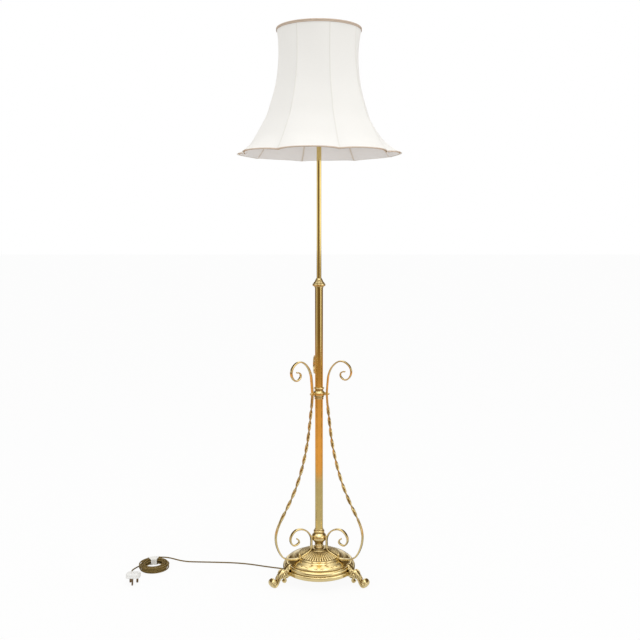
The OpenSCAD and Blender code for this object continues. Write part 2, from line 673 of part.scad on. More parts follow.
module shade_cover() { color("ivory") shade_shell(ROWS, 0, cover_t); }
module shade_lining() {
    rows = [for (v = ROWS) lining_low + v * (lining_high - lining_low)];
    color("white") shade_shell(rows, lining_in, lining_in + lining_t);
}
module bottom_trim() { color("peru") shade_shell([0, trim_v], -trim_t - gap, -gap); }
module top_trim() {
    z = shade_z + shade_h;
    r = shade_top_r;
    color("peru") difference() {
        spin([[0, z - 5], [r + trim_t, z - 5], [r + trim_t + gap, z - 1], [r + trim_t, z + 3], [0, z + 3]]);
        translate([0, 0, z - 6]) cylinder(r = r + gap, h = 6.3);
        translate([0, 0, z - 6]) cylinder(r = r - cover_t - 1, h = 12);
    }
}

// Free flex: run, coil and tail

module cord_run() { color("saddlebrown") tube_along(RUN, flex_r, 8); }

// Turns spiral in and out, layer on layer, from the top layer down to the floor
function coil_at(t) = let (m = t % (2 * layer_turns),
        layer = min(coil_layers - 1, floor((t + 0.25) / layer_turns)), into = t + 0.25 - layer * layer_turns,
        z = coil_z0 + layer_up * (coil_layers - 1 - layer + (layer > 0 && into < 0.5 ? 1 - 2 * into : 0)),
        r = coil_r - coil_pitch * (t > layer_turns * coil_layers ? layer_turns * coil_layers - t
            : m < layer_turns ? m : 2 * layer_turns - m), a = coil_start + 360 * t)
    [coil_c[0] + r * cos(a), coil_c[1] + r * sin(a), z];
function coil_path() = concat([[coil_c[0] + 9, coil_c[1] + coil_r, coil_at(0)[2]]],
    [for (k = [0:24 * coil_turns]) coil_at(k / 24)], [TAIL[0]]);
echo(least_gap = let (p = coil_path()) min([for (i = [0:3:len(p) - 1], k = [i + 6:len(p) - 1])
    norm(p[i] - p[k])]) - flex_d);
module cord_coil() { color("saddlebrown") tube_along(coil_path(), flex_r, 6); }

module cord_tail() { color("saddlebrown") tube_along(TAIL, flex_r, 8); }

module coil_tie() {
    r0 = coil_r - layer_turns * coil_pitch - flex_r - gap - tie_t;
    r1 = coil_r + coil_pitch / 6 + flex_r + gap;
    h = tie_t + 0.15 + (coil_layers - 1) * layer_up + flex_d + gap;
    color("white") translate([coil_c[0], coil_c[1], 0]) rotate(coil_start) rotate_extrude(angle = 34) difference() {
        translate([r0, 0]) square([r1 - r0 + tie_t, h + tie_t]);
        translate([r0 + tie_t, tie_t]) square([r1 - r0 - tie_t, h - tie_t]);
    }
}

// Plug, drawn with its pins down and its flex at +Y, then tipped until all three pins touch the floor
module plug_place() {
    translate([plug_at[0], plug_at[1], 0]) translate([0, 0, pin_short * cos(plug_tilt) + 0.5]) rotate([-plug_tilt, 0, 0])
        children();
}
module plug_outline(inset, t) {
    linear_extrude(height = t) offset(r = 8) square([plug_w - 16 - inset, plug_l - 16 - inset], center = true);
}
module plug_base() {
    color("white") plug_place() difference() {
        translate([0, plug_back - plug_l / 2, 0]) plug_outline(0, plug_base_t);
        translate([0, plug_back - 12, plug_base_t + 0.5]) rotate([-90, 0, 0]) cylinder(r = flex_r + gap, h = 20);
        translate([0, -pin_gap / 2, -1]) cylinder(r = 2.2, h = plug_base_t + 2);
        for (p = [[-11.1, 0], [11.1, 0], [0, -pin_gap]]) translate([p[0] - 3.2, p[1] - 4.2, -1]) cube([6.4, 8.4, 7]);
    }
}
module plug_cover() {
    color("white") plug_place() difference() {
        translate([0, plug_back - plug_l / 2, plug_base_t + seat]) plug_outline(0, plug_cover_t);
        translate([0, plug_back - 12, plug_base_t + 0.5]) rotate([-90, 0, 0]) cylinder(r = flex_r + gap, h = 20);
        translate([0, -pin_gap / 2, -1]) cylinder(r = 2.2, h = plug_base_t + 6);
    }
}
module plug_pins() {
    color("gold") plug_place() {
        for (s = [-1, 1]) translate([s * 11.1 - 3.15, -2, -pin_short]) cube([6.3, 4, pin_short + 5.5]);
        translate([-2, -pin_gap - 4, -pin_tall]) cube([4, 8, pin_tall + 5.5]);
    }
}
module plug_screw() {
    color("silver") plug_place() translate([0, -pin_gap / 2, 0]) {
        cylinder(r = 2, h = plug_base_t + 4);
        translate([0, 0, -1.4]) cylinder(r = 3.6, h = 1.4);
    }
}

base_dome();
base_weight();
base_plate();
knop();
stem_nipple();
stem_nut();
foot_left();
foot_right();
foot_rear();
foot_bolts();
outer_tube();
collet();
arm_collar();
collar_screws();
arm_left();
arm_right();
arm_rear();
arm_studs();
cord_gland();
base_flex();
column_flex();
lock_collar();
inner_tube();
guide_bush();
holder_cap();
holder_skirt();
holder_insulator();
holder_contacts();
push_bar();
shade_rings();
bulb_cap();
bulb_glass();
shade_carrier();
shade_fitter();
shade_ribs();
shade_bottom_ring();
shade_cover();
shade_lining();
top_trim();
bottom_trim();
cord_run();
cord_coil();
cord_tail();
coil_tie();
plug_base();
plug_cover();
plug_pins();
plug_screw();
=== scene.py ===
import math
from functools import partial

import bpy
import numpy as np
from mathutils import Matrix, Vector


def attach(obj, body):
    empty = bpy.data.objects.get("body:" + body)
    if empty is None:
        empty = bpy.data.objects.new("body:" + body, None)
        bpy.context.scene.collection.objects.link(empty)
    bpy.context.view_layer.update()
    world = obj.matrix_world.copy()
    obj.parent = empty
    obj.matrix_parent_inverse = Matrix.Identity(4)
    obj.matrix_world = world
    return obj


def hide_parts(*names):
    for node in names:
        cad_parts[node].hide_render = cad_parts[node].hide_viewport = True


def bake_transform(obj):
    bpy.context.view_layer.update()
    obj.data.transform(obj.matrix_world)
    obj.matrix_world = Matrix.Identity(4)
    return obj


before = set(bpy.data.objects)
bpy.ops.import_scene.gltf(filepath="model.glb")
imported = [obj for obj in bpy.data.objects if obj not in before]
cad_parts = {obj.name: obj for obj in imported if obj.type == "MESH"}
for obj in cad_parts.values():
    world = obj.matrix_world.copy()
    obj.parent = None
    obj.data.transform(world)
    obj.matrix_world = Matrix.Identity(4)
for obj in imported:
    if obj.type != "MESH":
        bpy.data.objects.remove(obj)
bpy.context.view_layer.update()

# Camera: it stands 2.6 m in front of the lamp at two thirds of its height, and looks down by 6.6 degrees.
MM = 0.001
FRAME_PX = 640
FOCAL_PX = 820
SENSOR = 36
CAMERA_AT = (0.0032, -2.6, 1.155)
CAMERA_DOWN = 6.6
camera = bpy.data.objects.new("camera", bpy.data.cameras.new("camera"))
bpy.context.scene.collection.objects.link(camera)
camera.data.sensor_width = SENSOR
camera.data.lens = FOCAL_PX / FRAME_PX * SENSOR
camera.location = CAMERA_AT
camera.rotation_euler = (math.radians(90 - CAMERA_DOWN), 0, 0)
bpy.context.scene.camera = camera
bpy.context.scene.view_settings.view_transform = "Standard"


# Studio: a white floor that runs into white surroundings, soft boxes left, right and above, and behind the
# camera a darker room that polished metal shows as brown bands.
def add(tree, kind, inputs=None, **settings):
    node = tree.nodes.new(kind)
    for key, value in settings.items():
        setattr(node, key, value)
    for key, value in (inputs or {}).items():
        if isinstance(value, bpy.types.NodeSocket):
            tree.links.new(value, node.inputs[key])
        else:
            node.inputs[key].default_value = value
    return node


def math_node(tree, operation, *values, clamp=False):
    node = add(tree, "ShaderNodeMath", dict(enumerate(values)), operation=operation, use_clamp=clamp)
    return node.outputs[0]


def times(tree, a, b):
    return math_node(tree, "MULTIPLY", a, b)


def mix_colour(tree, share, a, b):
    return add(tree, "ShaderNodeMix", {0: share, 6: a, 7: b}, data_type="RGBA").outputs[2]


def ramp(tree, value, start, end, low=0.0, high=1.0, kind="LINEAR"):
    """A number that runs from low to high while a value runs from start to end."""
    span = {"Value": value, "From Min": start, "From Max": end, "To Min": low, "To Max": high}
    return add(tree, "ShaderNodeMapRange", span, interpolation_type=kind).outputs[0]


def noise(tree, place, scale, detail, rough=0.5):
    look = {"Vector": place, "Scale": scale, "Detail": detail, "Roughness": rough}
    return add(tree, "ShaderNodeTexNoise", look).outputs[0]


def stretched(tree, place, per_axis):
    return add(tree, "ShaderNodeVectorMath", {0: place, 1: per_axis}, operation="MULTIPLY").outputs[0]


def empty_tree(owner):
    owner.use_nodes = True
    owner.node_tree.nodes.clear()
    return owner.node_tree


def new_mesh(name, points, faces, smooth=True, sharp_over=None):
    mesh = bpy.data.meshes.new(name)
    mesh.from_pydata([tuple(p) for p in points], [], faces)
    mesh.update()
    mesh.polygons.foreach_set("use_smooth", [smooth] * len(mesh.polygons))
    if sharp_over:
        mesh.set_sharp_from_angle(angle=math.radians(sharp_over))
    piece = bpy.data.objects.new(name, mesh)
    bpy.context.scene.collection.objects.link(piece)
    return piece


WHITE = (1, 1, 1, 1)
FLOOR_REACH = 30
FLOOR_Z = -0.0002
FLOOR_WHITE = (0.94, 0.94, 0.93, 1)
FLOOR_GLOW = 0.92
PAPER_NEAR = (0.92, 0.92, 0.89, 1)
PAPER_FAR = (0.50, 0.50, 0.48, 1)
PAPER_FADE = (0.2, 0.6)
PAPER_END = (1.05, 1.13)
BOARDS_NEAR = (1.0, 0.56, 0.24, 1)
BOARDS_FADE = (1.6, 5.5)
ROOM_DARK = (0.20, 0.135, 0.062, 1)
SHADOW_SIDE = (0.13, 0.10, 0.06, 1)
corners = [(x * FLOOR_REACH, y * FLOOR_REACH, FLOOR_Z) for x, y in ((-1, -1), (1, -1), (1, 1), (-1, 1))]
floor = new_mesh("floor", corners, [(0, 1, 2, 3)], smooth=False)
floor_white = bpy.data.materials.new("floor_white")
tree = empty_tree(floor_white)
ray = add(tree, "ShaderNodeLightPath").outputs
lit = add(tree, "ShaderNodeBsdfDiffuse", {"Color": FLOOR_WHITE}).outputs[0]
glow = add(tree, "ShaderNodeEmission", {"Color": WHITE, "Strength": 1.0}).outputs[0]
seen = math_node(tree, "MAXIMUM", ray["Is Camera Ray"], ray["Is Transmission Ray"])
paper = add(tree, "ShaderNodeMixShader", {0: times(tree, seen, FLOOR_GLOW), 1: lit, 2: glow}).outputs[0]
# Painted reflection: polished metal sees the floor glow with a painted room, in metres: paper that dims
# further off, then boards, and a painted dark patch beside and behind the base
spot = add(tree, "ShaderNodeSeparateXYZ", {0: add(tree, "ShaderNodeTexCoord").outputs["Object"]}).outputs
aside = math_node(tree, "ABSOLUTE", spot["X"])
beside = times(tree, ramp(tree, aside, 0.05, 0.12), ramp(tree, aside, 0.25, 0.38, 1.0, 0.0))
rear = times(tree, beside, ramp(tree, spot["Y"], -0.04, 0.08))
ahead = add(tree, "ShaderNodeCombineXYZ", {0: spot["X"], 1: math_node(tree, "MINIMUM", spot["Y"], 0.0)})
away = add(tree, "ShaderNodeVectorMath", {0: ahead.outputs[0]}, operation="LENGTH").outputs["Value"]
past = ramp(tree, away, *PAPER_END)
boards = mix_colour(tree, ramp(tree, away, *BOARDS_FADE), BOARDS_NEAR, ROOM_DARK)
sweep = mix_colour(tree, ramp(tree, away, *PAPER_FADE), PAPER_NEAR, PAPER_FAR)
# Painted reflection colour, which glossy rays see in place of the lit floor
painted_reflection = mix_colour(tree, rear, mix_colour(tree, past, sweep, boards), SHADOW_SIDE)
painted_reflection = add(tree, "ShaderNodeEmission", {"Color": painted_reflection, "Strength": 1.0}).outputs[0]
share = math_node(tree, "MULTIPLY_ADD", math_node(tree, "MAXIMUM", past, rear), 0.35, 0.65)
share = times(tree, share, ray["Is Glossy Ray"])
surface = add(tree, "ShaderNodeMixShader", {0: share, 1: paper, 2: painted_reflection}).outputs[0]
add(tree, "ShaderNodeOutputMaterial", {"Surface": surface})
floor.data.materials.append(floor_white)

# World: white behind the lamp. Polished metal also shows a dimmer left side, a bright right side, dark
# stretches beside the paper, the dark room round the camera and over the backdrop, and a light ceiling.
ROOM_SIDE = (-0.29, -0.957, 0.0)
LEFT_SIDE = (0.42, 0.41, 0.38, 1)
RIGHT_SIDE = (1.05, 1.03, 0.96, 1)
OVER_ROOM = (1.7, 1.68, 1.6, 1)
OVER_ROOM_SIDES = (0.5, 0.49, 0.44, 1)
OVER_PAPER = (1.4, 1.38, 1.3, 1)
OVER_PAPER_SIDES = (0.15, 0.108, 0.055, 1)
CEILING = (1.8, 1.77, 1.66, 1)
WORLD_LIGHT = (0.75, 0.75, 0.75, 1)
world = bpy.data.worlds.new("studio")
bpy.context.scene.world = world
tree = empty_tree(world)
ray = add(tree, "ShaderNodeLightPath").outputs
direction = add(tree, "ShaderNodeTexCoord").outputs["Generated"]
side = add(tree, "ShaderNodeSeparateXYZ", {0: direction}).outputs
# Ranges are in parts of a direction of length one. side["X"] is -1 at the left and 1 at the right.
ease = partial(ramp, tree, kind="SMOOTHSTEP")
shift = partial(mix_colour, tree)
low = shift(ease(side["X"], -0.5, 0.5), LEFT_SIDE, RIGHT_SIDE)
aside = math_node(tree, "ABSOLUTE", side["X"])
beside = times(tree, ease(aside, 0.12, 0.3), ease(side["Z"], 0.06, 0.16))
low = shift(ease(side["Y"], -0.15, 0.3), low, shift(beside, WHITE, SHADOW_SIDE))
front = add(tree, "ShaderNodeVectorMath", {0: direction, 1: ROOM_SIDE}, operation="DOT_PRODUCT")
low = shift(ease(front.outputs["Value"], 0.62, 0.80), low, ROOM_DARK)
behind = ease(side["Y"], -0.05, 0.22)
high = shift(behind, shift(ease(aside, 0.25, 0.6), OVER_ROOM, OVER_ROOM_SIDES),
             shift(ease(aside, 0.08, 0.28), OVER_PAPER, OVER_PAPER_SIDES))
height = math_node(tree, "MULTIPLY_ADD", behind, 0.16, side["Z"])
room = shift(ease(height, 0.26, 0.42), low, high)
room = shift(ease(side["Z"], 0.7, 0.86), room, CEILING)
shown = math_node(tree, "MAXIMUM", ray["Is Camera Ray"], ray["Is Transmission Ray"])
sky = shift(shown, shift(ray["Is Glossy Ray"], WORLD_LIGHT, room), WHITE)
background = add(tree, "ShaderNodeBackground", {"Color": sky, "Strength": 1.0})
add(tree, "ShaderNodeOutputWorld", {"Surface": background.outputs[0]})


def soft_box(name, at, toward, width, height, watts):
    lamp = bpy.data.objects.new(name, bpy.data.lights.new(name, "AREA"))
    lamp.data.shape = "RECTANGLE"
    lamp.data.size = width
    lamp.data.size_y = height
    lamp.data.energy = watts
    lamp.location = at
    lamp.rotation_euler = (Vector(toward) - Vector(at)).to_track_quat("-Z", "Y").to_euler()
    bpy.context.scene.collection.objects.link(lamp)


soft_box("box_right", (2.6, -1.7, 1.5), (0, 0, 0.9), 1.7, 2.6, 14)
soft_box("box_left", (-2.8, -1.2, 1.5), (0, 0, 0.9), 2.2, 2.6, 9)
soft_box("box_top", (0.1, -0.5, 3.6), (0, 0, 0.5), 1.6, 1.4, 17)


# Flex: round braided flex, brown with a gold thread. It leaves the gland under the base, runs over the
# floor, is wound into four layers of three turns, and goes on to the plug.
def spline(points, n):
    points = np.array(points, float)
    out = []
    for i in range(len(points) - 1):
        a, b = points[max(i - 1, 0)], points[i]
        c, d = points[i + 1], points[min(i + 2, len(points) - 1)]
        for k in range(n):
            t = k / n
            out.append(0.5 * (2 * b + (c - a) * t + (2 * a - 5 * b + 4 * c - d) * t * t
                              + (3 * b - a - 3 * c + d) * t ** 3))
    return np.array(out + [points[-1]])


def unit(vectors):
    return vectors / np.linalg.norm(vectors, axis=-1, keepdims=True)


def lengths(path):
    """How far along a path each of its points lies."""
    return np.concatenate([[0], np.cumsum(np.linalg.norm(np.diff(path, axis=0), axis=1))])


def circle(side, up, n, lead=0.0):
    """n directions round an axis, from side toward up."""
    a = math.tau * np.arange(n)[:, None] / n + lead
    return np.cos(a) * side + np.sin(a) * up


def skin(rings, sides, closed=False):
    """Faces round rings of points, with flat ends or, if closed, on from the last ring to the first."""
    faces = [(i * sides + k, i * sides + (k + 1) % sides,
              (i + 1) % rings * sides + (k + 1) % sides, (i + 1) % rings * sides + k)
             for i in range(rings if closed else rings - 1) for k in range(sides)]
    if not closed:
        faces += [tuple(reversed(range(sides))), tuple((rings - 1) * sides + k for k in range(sides))]
    return faces


def grid(u, v):
    return np.stack(np.broadcast_arrays(u, v), -1)


def unwrap(piece, label, corner):
    """The UV map of a skin, where corner(i, k) gives it for points i rings and k sides further on."""
    uv = np.stack([corner(i, k) for i, k in ((0, 0), (0, 1), (1, 1), (1, 0))], 2).ravel()
    flat = np.zeros(2 * len(piece.data.loops))
    flat[:len(uv)] = uv
    piece.data.uv_layers.new(name=label).data.foreach_set("uv", flat)


def tube(name, path, radius, sides, closed=False):
    """A round tube along points, with its length and its turn in the UV map, in metres and turns."""
    path = np.array(path, float)
    count = len(path)
    ahead = np.roll(path, -1, 0) - np.roll(path, 1, 0)
    if not closed:
        ahead[0], ahead[-1] = path[1] - path[0], path[-1] - path[-2]
    ahead = unit(ahead)
    up = np.array([0.0, 0.0, 1.0]) if abs(ahead[0][2]) < 0.9 else np.array([0.0, 1.0, 0.0])
    axes = []
    for t in ahead:
        up = unit(up - t * up.dot(t))
        axes.append((np.cross(t, up), up))
    twist = math.atan2(up.dot(axes[0][0]), up.dot(axes[0][1])) if closed else 0
    points = np.concatenate([path[i] + radius * circle(side, up, sides, -twist * i / count)
                             for i, (side, up) in enumerate(axes)])
    piece = new_mesh(name, points, skin(count, sides, closed))
    run = lengths(np.vstack([path, path[:1]]))
    ring, turn = np.arange(count if closed else count - 1)[:, None], np.arange(sides)
    unwrap(piece, "along", lambda i, k: grid(run[ring + i], (turn + k) / sides))
    piece.data.flip_normals()
    return piece


FLEX_D = 4.4
FLEX_SIDES = 14
COIL_AT = (-559, 65)
COIL_R = 50
COIL_PITCH = 7
COIL_LOW = 2.95
LAYER_UP = 4.85
COIL_UNEVEN = 1.0
LAYER_TURNS = 3
LAYERS = 4
COIL_TURNS = LAYER_TURNS * LAYERS + 1 / 6
COIL_STEPS = 24
GLAND_TIP = (-62, 38.3, 14)
RUN = [GLAND_TIP, (-66.8, 39.64, 14), (-74, 41.6, 12.6), (-84, 44.4, 9), (-95, 47.5, 4.8),
       (-106, 50.5, 2.6), (-118, 53.8, 2.2), (-136, 59, 2.2), (-158, 65.5, 2.2), (-183, 73.5, 2.2),
       (-210, 83, 2.2), (-236, 91.5, 2.2), (-262, 98, 2.2), (-289, 102.6, 2.2), (-316, 105.4, 2.2),
       (-344, 107.4, 2.2), (-372, 109, 2.2), (-400, 110.4, 2.2), (-428, 111.6, 2.2), (-450, 112.4, 2.8),
       (-468, 113.2, 4.6), (-486, 114, 8), (-504, 114.6, 12.6), (-520, 115, 15.9), (-535, 115, 17.4),
       (-550, 115, 17.5)]
TAIL = [(-605.5, 86.8, 2.95), (-608, 82.5, 2.95), (-611.5, 76, 2.8), (-617, 66.5, 2.5), (-622.5, 57, 2.2),
        (-627, 45, 2.2), (-627.5, 32, 2.4), (-622.5, 19, 4), (-614.5, 7.5, 8.2), (-607, -3, 13.6),
        (-602.8, -13, 18.4), (-602, -22, 21.1), (-602, -28, 22.5), (-602, -34, 23.9)]


def coil_point(t):
    m = t % (2 * LAYER_TURNS)
    layer = min(LAYERS - 1, math.floor((t + 0.25) / LAYER_TURNS))
    into = t + 0.25 - layer * LAYER_TURNS
    drop = 1 - 2 * into if layer > 0 and into < 0.5 else 0
    inward = LAYER_TURNS * LAYERS - t if t > LAYER_TURNS * LAYERS else min(m, 2 * LAYER_TURNS - m)
    r, a = COIL_R - COIL_PITCH * inward, math.radians(90 + 360 * t)
    r += COIL_UNEVEN * math.sin(2 * a + 2.4 * math.floor(t + 0.5)) * math.sin(math.pi * (t + 0.5)) ** 2
    up = LAYERS - 1 - layer + drop
    return COIL_AT[0] + r * math.cos(a), COIL_AT[1] + r * math.sin(a), COIL_LOW + LAYER_UP * up


coil = [coil_point(k / COIL_STEPS) for k in range(int(COIL_STEPS * COIL_TURNS) + 1)]
flex_path = spline(RUN + coil + TAIL, 2) * MM
flex = tube("flex", flex_path, FLEX_D / 2 * MM, FLEX_SIDES)


def group(name, inputs, outputs):
    """An effect that several finishes share, as a node group with named inputs and outputs."""
    made = bpy.data.node_groups.new(name, "ShaderNodeTree")
    for label, value in inputs.items():
        kind = "NodeSocketColor" if isinstance(value, tuple) else "NodeSocketFloat"
        made.interface.new_socket(label, in_out="INPUT", socket_type=kind).default_value = value
    for label in outputs:
        kind = "NodeSocketColor" if label == "Color" else "NodeSocketFloat"
        made.interface.new_socket(label, in_out="OUTPUT", socket_type=kind)
    return made, made.nodes.new("NodeGroupInput").outputs


def use(tree, made, inputs):
    return add(tree, "ShaderNodeGroup", inputs, node_tree=made).outputs


def finish(name, shader):
    """A new material with one shader, and its node tree."""
    made = bpy.data.materials.new(name)
    made.use_nodes = True
    base = made.node_tree.nodes["Principled BSDF"]
    for key, value in shader.items():
        base.inputs[key].default_value = value
    return made, made.node_tree, base


def bump(tree, base, height, strength, distance):
    node = add(tree, "ShaderNodeBump", {"Height": height, "Strength": strength, "Distance": distance})
    tree.links.new(node.outputs[0], base.inputs["Normal"])


def crossed(tree, one, other, edge):
    """Two sets of round threads that pass over and under each other: their height and which set is up."""
    over = times(tree, math_node(tree, "COSINE", one), math_node(tree, "COSINE", other))
    over = ramp(tree, over, -edge, edge)
    one, other = [math_node(tree, "ABSOLUTE", math_node(tree, "SINE", threads)) for threads in (one, other)]
    return add(tree, "ShaderNodeMix", {0: over, 2: one, 3: other}).outputs[0], over


# Plaited threads: strands cross at two slants and pass over and under each other
plait, given = group("plait", {"Along per m": 600, "Around": 8}, ["Height", "Strand"])
place = add(plait, "ShaderNodeSeparateXYZ", {0: add(plait, "ShaderNodeTexCoord").outputs["UV"]}).outputs
along = times(plait, place[0], given["Along per m"])
turns = times(plait, place[1], given["Around"])
left, right = [times(plait, math_node(plait, way, along, turns), math.pi) for way in ("ADD", "SUBTRACT")]
height, over = crossed(plait, left, right, 0.15)
add(plait, "NodeGroupOutput", {"Height": height, "Strand": over})

flex_braid, tree, base = finish("flex_braid", {"Roughness": 0.5, "Specular IOR Level": 0.3})
threads = use(tree, plait, {"Along per m": 330, "Around": 6})
thread_colour = mix_colour(tree, threads["Strand"], (0.40, 0.27, 0.07, 1), (0.12, 0.07, 0.014, 1))
shadow = math_node(tree, "POWER", threads["Height"], 0.6)
tree.links.new(mix_colour(tree, shadow, (0.04, 0.025, 0.01, 1), thread_colour), base.inputs["Base Color"])
bump(tree, base, threads["Height"], 0.8, 0.0004)
flex.data.materials.append(flex_braid)
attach(flex, "stand")
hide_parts("cord_run", "cord_coil", "cord_tail")


# Base: a spun brass dome with a rolled lip, bands stepped up the side, and chased flutes round its shoulder.
# A cast weight, a steel plate and a stem with its nut are out of sight inside it.
def rounded(outline, radius, n=4):
    """Cuts each corner of an outline back to an arc of the given radius."""
    outline = [np.array(p, float) for p in outline]
    out = [outline[0]]
    for before, corner, after in zip(outline, outline[1:], outline[2:]):
        a, b = before - corner, after - corner
        la, lb = np.linalg.norm(a), np.linalg.norm(b)
        a, b = a / la, b / lb
        turn = math.acos(max(-1, min(1, float(np.dot(a, b)))))
        if turn > math.radians(176):
            out.append(corner)
            continue
        cut = min(radius / math.tan(turn / 2), 0.48 * la, 0.48 * lb)
        p, q = corner + a * cut, corner + b * cut
        for k in range(n + 1):
            t = k / n
            out.append((1 - t) ** 2 * p + 2 * t * (1 - t) * corner + t * t * q)
    return out + [outline[-1]]


def lathe_faces(rows, sides):
    """Faces between rows of point numbers, where a row of one point is a pole."""
    faces = []
    for low, high in zip(rows, rows[1:]):
        for k in range(sides):
            a, b = low[k % len(low)], low[(k + 1) % len(low)]
            c, d = high[(k + 1) % len(high)], high[k % len(high)]
            faces.append([a, c, d] if len(low) == 1 else [a, b, d] if len(high) == 1 else [a, b, c, d])
    return faces


def turned(name, outline, sides, swell=None, sharp_over=38):
    """A piece turned on the lathe from (radius, height) points. swell(r, z, angle) moves a point outward."""
    points, rows = [], []
    for r, z in outline:
        n = 1 if r < 1e-6 else sides
        rows.append(range(len(points), len(points) + n))
        for k in range(n):
            a = math.tau * k / sides
            dr, dz = swell(r, z, a) if swell else (0, 0)
            points.append(((r + dr) * math.cos(a), (r + dr) * math.sin(a), z + dz))
    return new_mesh(name, np.array(points) * MM, lathe_faces(rows, sides), sharp_over=sharp_over)


def store(mesh, label, values):
    """Stores a share at each point, such as how deep it lies in a recess, where tarnish and painted shade
    darken it.
    """
    layer = mesh.attributes.new(label, "FLOAT", "POINT")
    layer.data.foreach_set("value", np.clip(values, 0, 1).astype(np.float32).ravel())


def stored(tree, label):
    return add(tree, "ShaderNodeAttribute", attribute_name=label).outputs["Fac"]


def at_height(outline, z):
    return [(r, z + up) for r, up in outline]


def polar(piece, z=0):
    """Reach from the axis, height above z and angle of each point, in millimetres and radians."""
    x, y, up = np.array([v.co for v in piece.data.vertices]).T / MM
    return np.hypot(x, y), up - z, np.arctan2(y, x)


def creases(piece, z, wide, high, places):
    """How near each point is to the (radius, height) places where two bands meet."""
    reach, up, angle = polar(piece, z)
    return sum(np.exp(-((reach - r) / wide) ** 2 - ((up - h) / high) ** 2) for r, h in places)


def fit(piece, material, body, node):
    """Gives a piece its finish, hangs it on the body that carries it, and hides the frame node it stands in
    for.
    """
    piece.data.materials.append(material)
    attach(piece, body)
    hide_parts(node)


def wear(tree, base, look, relief, depth):
    """Leads an effect's colour, roughness and height into a shader."""
    tree.links.new(look["Color"], base.inputs["Base Color"])
    tree.links.new(look["Roughness"], base.inputs["Roughness"])
    bump(tree, base, look["Height"], relief, depth)


# Old polished brass: cloudy tarnish, tarnish and painted shade brown in recesses, and fine hairlines from
# years of rubbing
BRASS = (0.74, 0.575, 0.235, 1)
PALE_BRASS = (0.74, 0.60, 0.31, 1)
TARNISH = (0.28, 0.18, 0.06, 1)
SURFACE = ["Color", "Roughness", "Height"]
old_brass, given = group("old_brass", {"Polished": BRASS, "Tarnished": TARNISH, "Cloud per m": 30,
                                       "Tarnish": 0.35, "Gloss": 0.08}, SURFACE)
place = add(old_brass, "ShaderNodeTexCoord").outputs["Object"]
cloud = ramp(old_brass, noise(old_brass, place, given["Cloud per m"], 5.0, 0.62), 0.45, 0.72)
speck = ramp(old_brass, noise(old_brass, place, 900.0, 2.0), 0.62, 0.75)
stain = math_node(old_brass, "MAXIMUM", cloud, times(old_brass, speck, 0.8))
stain = times(old_brass, stain, given["Tarnish"])
# The stored share darkens recesses toward the tarnished colour: real tarnish and painted shade
stain = math_node(old_brass, "MULTIPLY_ADD", stored(old_brass, "shaded_hollow"), 0.95, stain, clamp=True)
hair = noise(old_brass, stretched(old_brass, place, (260, 260, 3200)), 1.0, 3.0)
rough = math_node(old_brass, "MULTIPLY_ADD", stain, 0.22, given["Gloss"])
rough = math_node(old_brass, "MULTIPLY_ADD", hair, 0.07, rough)
rough = math_node(old_brass, "MULTIPLY_ADD", stored(old_brass, "chased"), 0.12, rough)
colour = mix_colour(old_brass, stain, given["Polished"], given["Tarnished"])
add(old_brass, "NodeGroupOutput", {"Color": colour, "Roughness": rough, "Height": hair})


def brass(name, tarnish, gloss, cloud, hair=0.012, polished=BRASS, tarnished=TARNISH):
    made, tree, base = finish(name, {"Metallic": 1.0})
    look = use(tree, old_brass, {"Polished": polished, "Tarnished": tarnished, "Cloud per m": cloud,
                                 "Tarnish": tarnish, "Gloss": gloss})
    wear(tree, base, look, hair, 0.0002)
    return made


RIM_R = 118.5
RIM_Z = 33
DOME_Z = 101
FLUTES = 48
FLUTE_IN = 29
FLUTE_OUT = 68.5
FLUTE_Z = 76
FLUTE_END = 3.2
FLUTE_RISE = 1.9
DOME_LINE = [(115.0, 33), (117.6, 33), (118.5, 34.6), (118.5, 42.6), (117.8, 44.6), (116.2, 45.6),
             (113.6, 45.8), (112.9, 46.6), (113.4, 49.0), (113.3, 52.0), (112.4, 54.8), (110.4, 57.0),
             (107.6, 58.3), (104.2, 58.6), (103.0, 58.8), (103.0, 60.2), (102.6, 62.2), (100.6, 64.6),
             (97.4, 66.7), (93.4, 68.6), (89.0, 70.1), (84.6, 71.3), (80.8, 72.2), (78.4, 73.0),
             (77.0, 74.2), (76.4, 75.6), (73.2, 76.5), (70.2, 77.6), (68.6, 78.7), (66.0, 79.9), (59, 82.7),
             (52, 85.5), (45, 88.3), (38, 91.1), (32, 93.7), (29, 95.1), (27, 96.4), (25.4, 98.4),
             (24.2, 100.6), (22.6, 101.0), (6, 101.0), (6, 98.9), (23.4, 98.6), (36, 89.6), (64, 77.8),
             (77, 71.6), (87, 67.7), (94, 64.2), (102.5, 56.6), (109.5, 48.6), (112, 46), (115.0, 33)]
DOME_TOP = 39


def fine(points, longest):
    """More points along the long stretches of an outline."""
    out = [points[0]]
    for a, b in zip(points, points[1:]):
        n = max(1, math.ceil(math.dist(a, b) / longest))
        out += [tuple(np.array(a) + (np.array(b) - np.array(a)) * k / n) for k in range(1, n + 1)]
    return out


def flute(r, z, a):
    """Rounded lobes between sharp grooves, with round lower ends."""
    if z < FLUTE_Z or r < FLUTE_IN or r > FLUTE_OUT:
        return 0, 0
    across = (a * FLUTES / math.tau) % 1 * 2 - 1
    round_end = math.sqrt(max(0, 1 - (max(0, r - FLUTE_OUT + FLUTE_END) / FLUTE_END) ** 2))
    lobe = max(0, 1 - abs(across / max(round_end, 0.05)) ** 4)
    rise = FLUTE_RISE * (r / FLUTE_OUT) * lobe * min(1, (r - FLUTE_IN) / 6) * min(1, round_end * 1.6)
    return rise * 0.38, rise * 0.92


